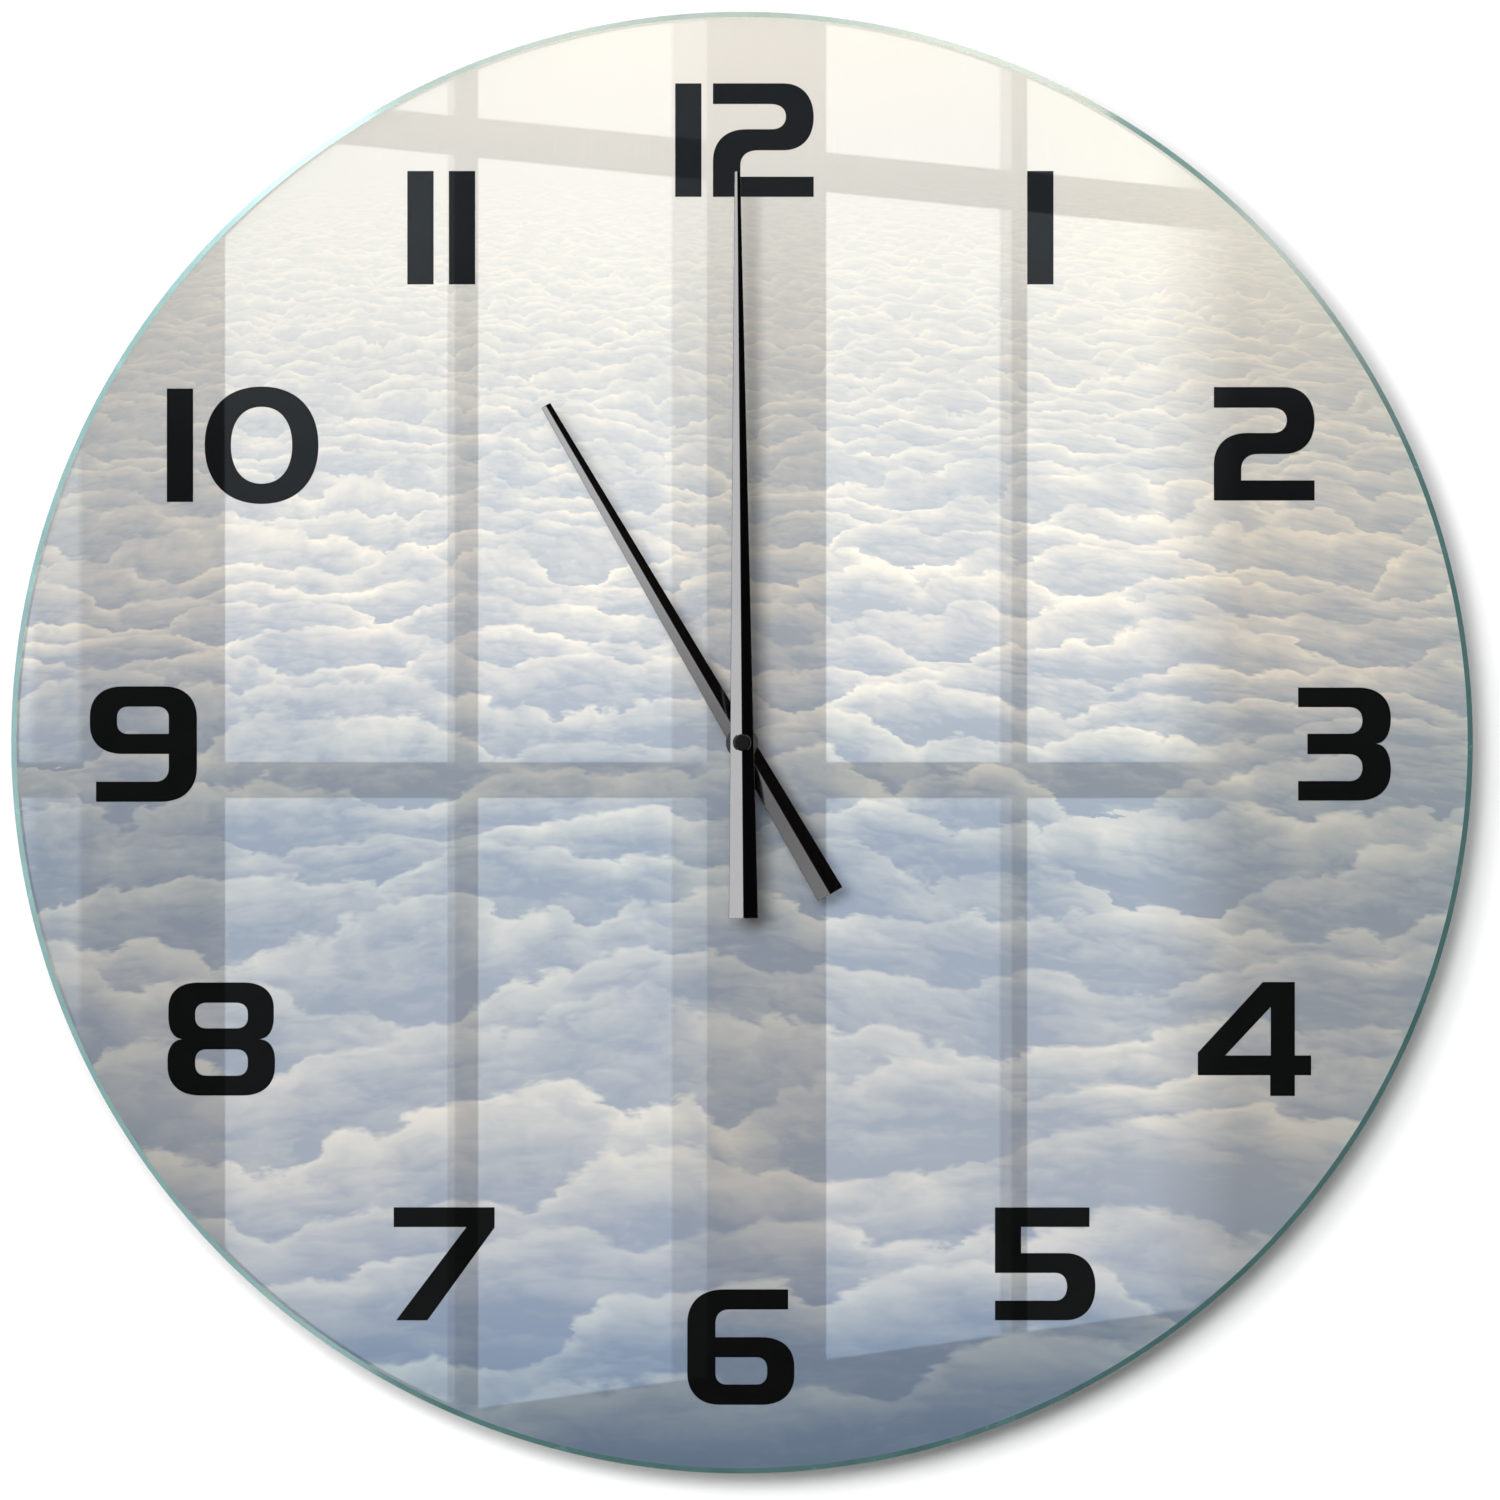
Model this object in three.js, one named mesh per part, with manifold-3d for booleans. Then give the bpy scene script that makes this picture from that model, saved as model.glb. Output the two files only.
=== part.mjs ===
// Round glass wall clock: a glass dial bonded to a quartz movement that hangs on one nail.
// Millimetres. Drawn facing the viewer: x right, y up from the dial axis, z out from the wall.
// The outer group then turns the clock so that +Z is up, the dial faces -Y and the wall is y = 0,
// with the origin where the nail carries the hanger.

import * as THREE from 'three';
import { mergeVertices } from 'three/addons/utils/BufferGeometryUtils.js';
import Module from 'manifold-3d';

const wasm = await Module();
wasm.setup();

// Fits
const BOND = 0.1;           // gap between bonded or pressed pieces
const SEAT = 0.3;           // gap between a piece and what it rests on
const RUN = 0.1;            // radial running gap of an arbor in its bearing
const FUSE = 0.2;           // how far joined solids reach into each other
const THROUGH = 1;          // how far a cutting tool stands out of what it cuts

// Dial
const DIAL_R = 150;
const GLASS_T = 4;
const ARRIS = 1.1;          // width of the polished edge band
const FILM_T = 0.2;
const FILM_INSET = 1.2;     // the print stops short of the edge
const DIAL_HOLE_R = 3.1;
const PAD_T = 1;            // adhesive foam between case and dial
const PAD_INSET = 1;        // from the case's sides

// Movement case
const WALL = 1.4;
const FRONT_T = 1.2;
const CASE_CORNER = 4;
const BOSS_R = 4.2;         // short round boss on the front, round the hour pipe
const PARTITION_T = 1.2;    // between the wheels and the cell
const NOTCH_HALF = 9;       // finger notch in the lower wall
const NOTCH_DEPTH = 8;

// AA cell and its bay
const CELL_R = 7.25;
const CELL_LENGTH = 50.5;
const CELL_NUB_R = 2.75;
const CELL_NUB = 1;
const CELL_GAP = 0.45;      // play between cell and bay walls
const CONTACT_ROOM = 1.35;  // kept at each end for a contact
const CONTACT_T = 0.4;
const STRIP_W = 2.6;
const CELL_EDGE = 0.6;      // chamfer round the can's ends
const LEAF_HALF = 4;        // half the width of a contact's leaf
const LEAF_FOOT = 2.5;      // from the rear rim to the leaf's end
const TAB_INSET = 2;        // of the contact's tab from the board's edge
const TAB_LAP = 2.5;
const POSITIVE_LEAD = 5;
const SLOT_PLAY = 0.3;

// Rear cover, middle plate and screws
const COVER_RECESS = 3;
const COVER_T = 1;
const BEARING_R = 1.3;
const BEARING_H = 0.6;
const BEARING_FLOOR = 0.6;  // cover left under an arbor's end
const PLATE_T = 0.8;
const PLATE_CORNER = 1.5;
const PLATE_LEFT = 3.9;     // plate beyond the stator
const PLATE_RIGHT = 1.8;    // plate to the crystal
const PLATE_FOOT = 0.6;     // plate to the bay's wall
const PLATE_LIP = 0.5;      // plate beyond the stator's arm
const PILLAR_INSET = 2.5;   // pillar's centre from the plate's edge
const STUD_R = 1.1;         // studs that space the stator from the plate
const STUD_INSET = 1.2;
const POST_R = 2.4;
const PILLAR_R = 1.5;
const SCREW_R = 0.8;
const SCREW_HEAD_R = 1.8;
const SCREW_HEAD_T = 0.8;
const SCREW_LENGTH = 5;

// Going train: tooth counts, one module, and where each arbor lies round the centre
const SECONDS_TEETH = 60;
const SECONDS_PINION = 8;
const THIRD_TEETH = 60;
const THIRD_PINION = 8;
const CENTRE_TEETH = 64;
const FIFTH_TEETH = 50;
const FIFTH_PINION = 10;
const ROTOR_PINION = 10;
const TRAIN_MODULE = 0.25;
const ROTOR_MODULE = 0.22;
const THIRD_BEARING = 35;   // degrees from +x
const FIFTH_BEARING = 160;
const ROTOR_BEARING = 120;  // seen from the fifth wheel
const WHEEL_T = 0.7;
const WHEEL_GAP = 0.5;
const END_PLAY = 0.2;
const PINION_PROUD = 0.2;   // a pinion stands out of the wheel that it drives
const ARBOR_R = 0.4;
const HUB_H = 0.9;          // clutch hub of the centre wheel
const HUB_WALL = 1;
const MAGNET_R = 2.2;
const MAGNET_T = 1.6;

// Motion work: cannon pinion, motion wheel, hour wheel
const CANNON_TEETH = 12;
const MOTION_TEETH = 36;
const MOTION_PINION = 10;
const HOUR_TEETH = 40;
const MOTION_MODULE = 0.4;
const MOTION_BEARING = 100;
const CANNON_T = 1.2;
const HOUR_T = 0.8;
const MINUTE_BORE_R = 0.65;
const MINUTE_NECK_R = 1.2;
const MINUTE_PIPE_R = 1.7;
const PIPE_WALL = 0.65;     // wall of the hour pipe
const CANNON_PLAY = 0.4;    // cannon pinion to the plate
const HOUR_HUB = 1.5;       // hour wheel to the case's front
const STEM_R = 1.2;
const STEM_TIP_R = 0.6;
const PIVOT_DEPTH = 0.5;
const KNOB_R = 5.5;
const KNOB_T = 2.2;
const KNOB_INSET = 0.4;     // the knob stays inside the rear rim
const KNOB_CHAMFER = 0.5;
const KNOB_SOCKET = 0.6;
const KNOB_FLUTES = 18;
const FLUTE_R = 0.45;

// Step motor and electronics
const STATOR_T = 0.8;
const STATOR_HALF = 4.6;    // half the square round the rotor
const STATOR_SLIT = 0.5;
const MAGNET_GAP = 0.5;
const ARM_W = 2.4;
const ARM_GAP = 1.2;        // stator's arm to the setting stem
const STATOR_EAR = 3.4;     // stator and core beyond the coil
const EAR_LIP = 0.4;        // stator beyond the core
const STATOR_LIFT = 0.2;    // over the centre wheel's rear face
const WHEEL_CLEAR = 0.4;
const CORE_HALF = 1;
const COIL_R = 2.6;
const WINDING_R = 2.4;
const BARREL_R = 1.56;      // bobbin under the winding
const TERMINAL_HALF = 1.9;
const TERMINAL_LAP = 2;     // terminal block under the board
const COIL_LENGTH = 20;
const COIL_FLANGE = 0.8;
const COIL_X = 1.5;
const COIL_DROP = 7;        // from the case's inner top down to the coil axis
const BOARD_T = 0.8;
const BOARD_W = 11.4;
const BOARD_CORNER = 0.8;
const BOARD_LIFT = 0.9;     // over the middle plate
const BOARD_RISE = 1;       // beyond the coil axis
const BOARD_FOOT = 0.6;     // to the lower post
const BOARD_PILLAR = 2;     // pillar's centre from the board's end
const BOARD_STAGGER = 3;
const CRYSTAL_R = 1.5;
const CRYSTAL_LENGTH = 7.6;
const CRYSTAL_INSET = 2.6;
const CRYSTAL_DROP = 10;
const CHIP_R = 3.2;
const CHIP_H = 0.9;
const CHIP_RISE = 2;        // chip's centre over the dial axis

// Hanger plate
const HANGER_T = 1;
const HANGER_HALF = 11.5;
const BLOCK_DEPTH = 2.2;    // screw block inside the case's top wall
const BLOCK_MARGIN = 1;
const BLOCK_PROUD = 0.4;    // block behind the cover's face
const BLOCK_STEP = 0.2;     // block that shows below the hanger
const HANGER_SCREW_INSET = 3.5;
const SHOULDER_RISE = 1.2;  // from the case top to the plate's shoulder
const EYE_R = 4;
const EYE_RISE = 4.6;       // from the case top to the eye's centre
const APEX_R = 1.5;
const APEX_RISE = 5;        // from the eye's centre to the nail seat's centre
const EYE_RIM = 4;          // metal left round the eye

// Wall spacers
const SPACER_R = 7;
const SPACER_FACE_R = 6;
const SPACER_FOOT = 1.5;    // straight part at the film
const SPACER_INSET = 20;    // its centre from the dial's edge
const SPACER_BEARING = 57.5; // degrees below the horizontal

// Hands, of folded sheet
const SHEET = 0.4;
const FOLD = THREE.MathUtils.degToRad(22);
const MINUTE_REACH = 117;
const MINUTE_TIP_W = 1.15;
const MINUTE_TAIL_W = 5.95;
const MINUTE_TURN = -0.46;  // degrees clockwise from 12
const HOUR_REACH = 80;
const HOUR_TIP_W = 2.1;
const HOUR_TAIL_W = 5.8;
const HOUR_TURN = -30.2;
const TAIL = 36;
const HAND_CLEAR = 0.9;     // over the glass, and between the hands
const HOUR_BOSS_R = 3.3;
const MINUTE_BOSS_WALL = 0.7;
const HAND_COLLAR = 0.4;    // boss below the blade
const CAP_R = 1.73;
const CAP_H = 1.5;
const CAP_ROOF = 0.6;
const CAP_STEPS = 3;

// Tooth form, as shares of the module or of the pitch
const ADDENDUM = 0.82;
const DEDENDUM = 1.15;
const TIP_SHARE = 0.2;
const ROOT_SHARE = 0.5;

// Roundness
const FINE = 96;
const ROUND = 24;
const SMALL = 10;
const SCREW_SIDES = 6;
const CORNER_STEPS = 4;

// Plan: arbor centres
const rad = THREE.MathUtils.degToRad;
const polar = (from, radius, degrees) => new THREE.Vector2(
  from.x + radius * Math.cos(rad(degrees)), from.y + radius * Math.sin(rad(degrees)));
const centre = new THREE.Vector2(0, 0);
const thirdDistance = TRAIN_MODULE * (THIRD_TEETH + SECONDS_PINION) / 2;
const fifthDistance = TRAIN_MODULE * (SECONDS_TEETH + FIFTH_PINION) / 2;
const rotorDistance = ROTOR_MODULE * (FIFTH_TEETH + ROTOR_PINION) / 2;
const motionDistance = MOTION_MODULE * (HOUR_TEETH + MOTION_PINION) / 2;
const centreModule = 2 * thirdDistance / (CENTRE_TEETH + THIRD_PINION);
const cannonModule = 2 * motionDistance / (MOTION_TEETH + CANNON_TEETH);
const third = polar(centre, thirdDistance, THIRD_BEARING);
const fifth = polar(centre, fifthDistance, FIFTH_BEARING);
const rotor = polar(fifth, rotorDistance, ROTOR_BEARING);
const motion = polar(centre, motionDistance, MOTION_BEARING);

// Plan: case
const caseHalf = CELL_LENGTH / 2 + CONTACT_ROOM + WALL;
const insideHalf = caseHalf - WALL;
const bayTop = -insideHalf + 2 * (CELL_R + CELL_GAP);
const cellY = -insideHalf + CELL_GAP + CELL_R;
const trainFloor = bayTop + PARTITION_T;
const postX = insideHalf - POST_R + FUSE;
const postY = trainFloor + POST_R - FUSE;
const posts = [[-postX, postX], [postX, postX], [-postX, postY], [postX, postY]];
const coilY = insideHalf - COIL_DROP;
const coreLeft = rotor.x - STATOR_HALF;
const coreRight = COIL_X + COIL_LENGTH / 2 + STATOR_EAR;
const armY = motion.y + STEM_R + ARM_GAP;
const boardLeft = insideHalf - BOARD_W;
const boardTop = coilY + BOARD_RISE;
const boardBottom = postY + POST_R + BOARD_FOOT;
const crystalX = boardLeft + CRYSTAL_INSET;
const plateLeft = coreLeft - PLATE_LEFT;
const plateRight = crystalX - CRYSTAL_R - PLATE_RIGHT;
const plateTop = armY + ARM_W + PLATE_LIP;
const blockY = insideHalf - BLOCK_DEPTH;
const screwX = HANGER_HALF - HANGER_SCREW_INSET;
const screwY = (caseHalf + blockY) / 2;
const eyeY = caseHalf + EYE_RISE;
const apexY = eyeY + APEX_RISE;
const nailY = apexY + APEX_R;
const eyeTangent = Math.asin((EYE_R - APEX_R) / APEX_RISE);
const spacer = polar(centre, DIAL_R - SPACER_INSET, -SPACER_BEARING);

// Levels, from the wall towards the viewer
const coverIn = COVER_RECESS + COVER_T;
const arborEnd = COVER_RECESS + BEARING_FLOOR;
const secondsZ = coverIn + BEARING_H + END_PLAY;
const thirdZ = secondsZ + WHEEL_T + WHEEL_GAP;
const centreZ = thirdZ + WHEEL_T + PINION_PROUD + WHEEL_GAP;
const plateZ = centreZ + WHEEL_T + HUB_H + SEAT;
const plateFront = plateZ + PLATE_T;
const cannonZ = plateFront + CANNON_PLAY;
const motionZ = cannonZ + (CANNON_T - WHEEL_T) / 2;
const hourZ = cannonZ + CANNON_T + HOUR_T;
const frontIn = Math.max(hourZ + HOUR_T + HOUR_HUB, 2 * (CELL_R + BOND));
const caseDepth = frontIn + FRONT_T;
const cellZ = frontIn - BOND - CELL_R;
const statorZ = centreZ + STATOR_LIFT;
const statorFront = statorZ + STATOR_T;
const coreZ = statorZ - BOND - STATOR_T;
const coilZ = coreZ + STATOR_T / 2;
const boardZ = plateFront + BOARD_LIFT;
const padZ = caseDepth + BOND;
const filmZ = padZ + PAD_T + BOND;
const glassZ = filmZ + FILM_T + BOND;
const glassFront = glassZ + GLASS_T;
const foldRise = (width) => width / 2 * Math.tan(FOLD);
const hourHandZ = glassFront + HAND_CLEAR;
const minuteHandZ = hourHandZ + foldRise(HOUR_TAIL_W) + SHEET + HAND_CLEAR;
const widthAtPivot = (reach, tip, tail) => tip + (tail - tip) * reach / (reach + TAIL);
const minuteRidge = minuteHandZ + SHEET
  + foldRise(widthAtPivot(MINUTE_REACH, MINUTE_TIP_W, MINUTE_TAIL_W));
const capZ = minuteRidge + BOND;
const neckEnd = capZ + CAP_H - CAP_ROOF - BOND;
const hourPipeR = MINUTE_PIPE_R + RUN + PIPE_WALL;
const hourPipeEnd = hourHandZ + foldRise(HOUR_TAIL_W) + SHEET;
const minutePipeEnd = minuteHandZ - HAND_COLLAR - BOND;
const blockZ = COVER_RECESS - BLOCK_PROUD;
const hangerZ = blockZ - SEAT - HANGER_T;

// Solids
function toSolid(geometry) {
  geometry.deleteAttribute('normal');
  geometry.deleteAttribute('uv');
  const merged = mergeVertices(geometry, 1e-5);
  const { array } = merged.index;
  const triVerts = [];
  for (let i = 0; i < array.length; i += 3) {
    const [a, b, c] = array.slice(i, i + 3);
    if (a !== b && b !== c && c !== a) triVerts.push(a, b, c);
  }
  return new wasm.Manifold(new wasm.Mesh({
    numProp: 3,
    vertProperties: new Float32Array(merged.attributes.position.array),
    triVerts: new Uint32Array(triVerts),
  }));
}

function toGeometry(solid) {
  const mesh = solid.getMesh();
  const geometry = new THREE.BufferGeometry();
  geometry.setAttribute('position', new THREE.BufferAttribute(mesh.vertProperties, 3));
  geometry.setIndex(new THREE.BufferAttribute(mesh.triVerts, 1));
  geometry.computeVertexNormals();
  return geometry;
}

const join = (...solids) => solids.reduce((all, next) => all.add(next));
const cut = (solid, ...tools) => tools.reduce((left, tool) => left.subtract(tool), solid);

// A flat shape raised from one level to another
function slab(shape, low, high) {
  const geometry = new THREE.ExtrudeGeometry(shape, {
    depth: high - low, bevelEnabled: false, curveSegments: CORNER_STEPS,
  });
  return toSolid(geometry.translate(0, 0, low));
}

function box(x0, x1, y0, y1, z0, z1) {
  const geometry = new THREE.BoxGeometry(x1 - x0, y1 - y0, z1 - z0);
  return toSolid(geometry.translate((x0 + x1) / 2, (y0 + y1) / 2, (z0 + z1) / 2));
}

function rod(at, radius, low, high, steps = SMALL) {
  const geometry = new THREE.CylinderGeometry(radius, radius, high - low, steps);
  return toSolid(geometry.rotateX(Math.PI / 2).translate(at.x, at.y, (low + high) / 2));
}

// A closed profile of [radius, level] turned about an arbor
function turned(profile, steps) {
  const points = profile.map(([radius, level]) => new THREE.Vector2(radius, level));
  return toSolid(new THREE.LatheGeometry(points, steps).rotateX(Math.PI / 2));
}

function ring(outer, inner, low, high, steps) {
  return turned([[inner, low], [outer, low], [outer, high], [inner, high], [inner, low]], steps);
}

function roundRect(x0, x1, y0, y1, r) {
  const shape = new THREE.Shape();
  shape.absarc(x1 - r, y0 + r, r, -Math.PI / 2, 0);
  shape.absarc(x1 - r, y1 - r, r, 0, Math.PI / 2);
  shape.absarc(x0 + r, y1 - r, r, Math.PI / 2, Math.PI);
  shape.absarc(x0 + r, y0 + r, r, Math.PI, 3 * Math.PI / 2);
  return shape;
}

// Teeth
function gearShape(teeth, module, phase) {
  const pitch = 2 * Math.PI / teeth;
  const tipR = module * (teeth / 2 + ADDENDUM);
  const rootR = module * (teeth / 2 - DEDENDUM);
  const corners = [[-ROOT_SHARE, rootR], [-TIP_SHARE, tipR], [TIP_SHARE, tipR], [ROOT_SHARE, rootR]];
  const points = [];
  for (let tooth = 0; tooth < teeth; tooth += 1) {
    for (const [share, radius] of corners) {
      const angle = phase + pitch * (tooth + share / 2);
      points.push(new THREE.Vector2(radius * Math.cos(angle), radius * Math.sin(angle)));
    }
  }
  return new THREE.Shape(points);
}

function gear(at, teeth, module, phase, low, high) {
  return slab(gearShape(teeth, module, phase), low, high).translate([at.x, at.y, 0]);
}

// The phase that puts a tooth gap of the second gear over a tooth of the first
function meshPhase(phase, teeth, from, to, mateTeeth) {
  const line = Math.atan2(to.y - from.y, to.x - from.x);
  const offset = (phase - line) * teeth / (2 * Math.PI);
  return line + Math.PI + 2 * Math.PI / mateTeeth * (0.5 - offset);
}

const tipRadius = (teeth, module) => module * (teeth / 2 + ADDENDUM);

// Going train
function secondsWheel() {
  return join(
    gear(centre, SECONDS_TEETH, TRAIN_MODULE, 0, secondsZ, secondsZ + WHEEL_T),
    gear(centre, SECONDS_PINION, TRAIN_MODULE, 0, secondsZ, thirdZ + WHEEL_T + PINION_PROUD),
    rod(centre, ARBOR_R, arborEnd, neckEnd),
  );
}

function thirdWheel() {
  const phase = meshPhase(0, SECONDS_PINION, centre, third, THIRD_TEETH);
  return join(
    gear(third, THIRD_TEETH, TRAIN_MODULE, phase, thirdZ, thirdZ + WHEEL_T),
    gear(third, THIRD_PINION, centreModule, 0, thirdZ, centreZ + WHEEL_T + PINION_PROUD),
    rod(third, ARBOR_R, arborEnd, plateFront),
  );
}

function centreWheel() {
  const phase = meshPhase(0, THIRD_PINION, third, centre, CENTRE_TEETH);
  const wheel = join(
    gear(centre, CENTRE_TEETH, centreModule, phase, centreZ, centreZ + WHEEL_T),
    rod(centre, MINUTE_NECK_R + BOND + HUB_WALL, centreZ, centreZ + WHEEL_T + HUB_H, ROUND),
  );
  const bore = rod(centre, MINUTE_NECK_R + BOND, centreZ - THROUGH, plateZ + THROUGH, ROUND);
  return cut(wheel, bore);
}

function fifthWheel() {
  const phase = meshPhase(0, SECONDS_TEETH, centre, fifth, FIFTH_PINION);
  return join(
    gear(fifth, FIFTH_PINION, TRAIN_MODULE, phase, secondsZ - BOND, thirdZ + WHEEL_T),
    gear(fifth, FIFTH_TEETH, ROTOR_MODULE, 0, thirdZ, thirdZ + WHEEL_T),
    rod(fifth, ARBOR_R, arborEnd, plateFront),
  );
}

function rotorPinion() {
  const phase = meshPhase(0, FIFTH_TEETH, fifth, rotor, ROTOR_PINION);
  return join(
    gear(rotor, ROTOR_PINION, ROTOR_MODULE, phase, thirdZ - BOND, thirdZ + WHEEL_T + BOND),
    rod(rotor, ARBOR_R, arborEnd, plateFront),
  );
}

function rotorMagnet() {
  const middle = statorZ + STATOR_T / 2;
  return ring(MAGNET_R, ARBOR_R + BOND, middle - MAGNET_T / 2, middle + MAGNET_T / 2, ROUND)
    .translate([rotor.x, rotor.y, 0]);
}

// Motion work
function cannonPinion() {
  const pipe = join(
    rod(centre, MINUTE_NECK_R, centreZ - END_PLAY, cannonZ + CANNON_T, ROUND),
    gear(centre, CANNON_TEETH, cannonModule, 0, cannonZ, cannonZ + CANNON_T),
    rod(centre, MINUTE_PIPE_R, cannonZ, minutePipeEnd, ROUND),
    rod(centre, MINUTE_NECK_R, cannonZ, neckEnd, ROUND),
  );
  return cut(pipe, rod(centre, MINUTE_BORE_R, centreZ - THROUGH, neckEnd + THROUGH));
}

function motionWheel() {
  const phase = meshPhase(0, CANNON_TEETH, centre, motion, MOTION_TEETH);
  return join(
    gear(motion, MOTION_TEETH, cannonModule, phase, motionZ, motionZ + WHEEL_T),
    gear(motion, MOTION_PINION, MOTION_MODULE, 0, motionZ, hourZ + HOUR_T + PINION_PROUD),
    rod(motion, STEM_R, KNOB_INSET + KNOB_T - KNOB_SOCKET, hourZ + HOUR_T),
    rod(motion, STEM_TIP_R, hourZ, frontIn + PIVOT_DEPTH),
  );
}

function hourWheel() {
  const phase = meshPhase(0, MOTION_PINION, motion, centre, HOUR_TEETH);
  const wheel = join(
    gear(centre, HOUR_TEETH, MOTION_MODULE, phase, hourZ, hourZ + HOUR_T),
    rod(centre, hourPipeR + HUB_WALL, hourZ, frontIn - SEAT, ROUND),
    rod(centre, hourPipeR, hourZ, hourPipeEnd, ROUND),
  );
  const bore = rod(centre, MINUTE_PIPE_R + RUN, hourZ - THROUGH, hourPipeEnd + THROUGH, ROUND);
  return cut(wheel, bore);
}

function settingKnob() {
  const top = KNOB_INSET + KNOB_T;
  const profile = [[0, KNOB_INSET], [KNOB_R - KNOB_CHAMFER, KNOB_INSET],
    [KNOB_R, KNOB_INSET + KNOB_CHAMFER], [KNOB_R, top], [0, top]];
  let knob = turned(profile, KNOB_FLUTES).translate([motion.x, motion.y, 0]);
  for (let flute = 0; flute < KNOB_FLUTES; flute += 1) {
    const at = polar(motion, KNOB_R, flute * 360 / KNOB_FLUTES);
    knob = cut(knob, rod(at, FLUTE_R, KNOB_INSET - THROUGH, top + THROUGH, SCREW_SIDES));
  }
  return cut(knob, rod(motion, STEM_R + BOND, top - KNOB_SOCKET - BOND, top + THROUGH));
}

// Hands
// A blade folded along its middle, as one solid between its tail's section and its tip's
function foldedBlade(reach, tipWidth, tailWidth) {
  const section = (y, width) => {
    const half = width / 2;
    const rise = foldRise(width);
    return [[-half, y, 0], [0, y, rise], [half, y, 0], [half, y, SHEET], [0, y, rise + SHEET],
      [-half, y, SHEET]];
  };
  const corners = [...section(-TAIL, tailWidth), ...section(reach, tipWidth)];
  const sides = 6;
  const index = [];
  const face = (a, b, c, d) => index.push(a, b, c, a, c, d);
  for (let side = 0; side < sides; side += 1) {
    const next = (side + 1) % sides;
    face(side, side + sides, next + sides, next);
  }
  face(0, 1, 4, 5);
  face(1, 2, 3, 4);
  face(11, 10, 7, 6);
  face(10, 9, 8, 7);
  const geometry = new THREE.BufferGeometry();
  geometry.setAttribute('position', new THREE.Float32BufferAttribute(corners.flat(), 3));
  geometry.setIndex(index);
  return toSolid(geometry);
}

function hourHand() {
  const height = foldRise(widthAtPivot(HOUR_REACH, HOUR_TIP_W, HOUR_TAIL_W)) + SHEET;
  const hand = join(
    foldedBlade(HOUR_REACH, HOUR_TIP_W, HOUR_TAIL_W),
    rod(centre, HOUR_BOSS_R, -HAND_COLLAR, height, ROUND),
  );
  const bore = rod(centre, hourPipeR + BOND / 2, -THROUGH, height + THROUGH, ROUND);
  return cut(hand, bore).rotate([0, 0, -HOUR_TURN]).translate([0, 0, hourHandZ]);
}

function minuteHand() {
  const height = foldRise(widthAtPivot(MINUTE_REACH, MINUTE_TIP_W, MINUTE_TAIL_W)) + SHEET;
  const hand = join(
    foldedBlade(MINUTE_REACH, MINUTE_TIP_W, MINUTE_TAIL_W),
    rod(centre, MINUTE_NECK_R + MINUTE_BOSS_WALL, -HAND_COLLAR, height - SHEET, ROUND),
  );
  const bore = rod(centre, MINUTE_NECK_R + BOND / 2, -THROUGH, height + THROUGH, ROUND);
  return cut(hand, bore).rotate([0, 0, -MINUTE_TURN]).translate([0, 0, minuteHandZ]);
}

function centreCap() {
  const crown = CAP_H - CAP_R / 2;
  const profile = [[0, 0], [CAP_R, 0], [CAP_R, crown]];
  for (let step = 1; step < CAP_STEPS; step += 1) {
    const angle = step / CAP_STEPS * Math.PI / 2;
    profile.push([CAP_R * Math.cos(angle), crown + (CAP_H - crown) * Math.sin(angle)]);
  }
  profile.push([0, CAP_H]);
  const cap = turned(profile, ROUND).translate([0, 0, capZ]);
  return cut(cap, rod(centre, MINUTE_NECK_R + BOND / 2, capZ - THROUGH, neckEnd + BOND, ROUND));
}

// Dial
function glassDial() {
  const edge = DIAL_R - ARRIS;
  return turned([[DIAL_HOLE_R, glassZ], [edge, glassZ], [DIAL_R, glassZ + ARRIS / 2],
    [DIAL_R, glassFront - ARRIS / 2], [edge, glassFront], [DIAL_HOLE_R, glassFront],
    [DIAL_HOLE_R, glassZ]], FINE);
}

function printedFilm() {
  return ring(DIAL_R - FILM_INSET, DIAL_HOLE_R, filmZ, filmZ + FILM_T, FINE / 2);
}

function foamPad() {
  const half = caseHalf - PAD_INSET;
  const front = padZ + PAD_T;
  const pad = slab(roundRect(-half, half, -half, half, CASE_CORNER - PAD_INSET), padZ, front);
  return cut(pad, rod(centre, BOSS_R + SEAT, padZ - THROUGH, front + THROUGH, ROUND));
}

function wallSpacer(side) {
  const seat = filmZ - BOND;
  const profile = [[0, 0], [SPACER_FACE_R, 0], [SPACER_R, seat - SPACER_FOOT], [SPACER_R, seat],
    [0, seat]];
  return turned(profile, ROUND).translate([side * spacer.x, spacer.y, 0]);
}

// Case and plates
const bores = (places, radius, low, high) => places.map(([x, y]) => rod({ x, y }, radius, low, high));
const hangerScrews = [[-screwX, screwY], [screwX, screwY]];

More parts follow.
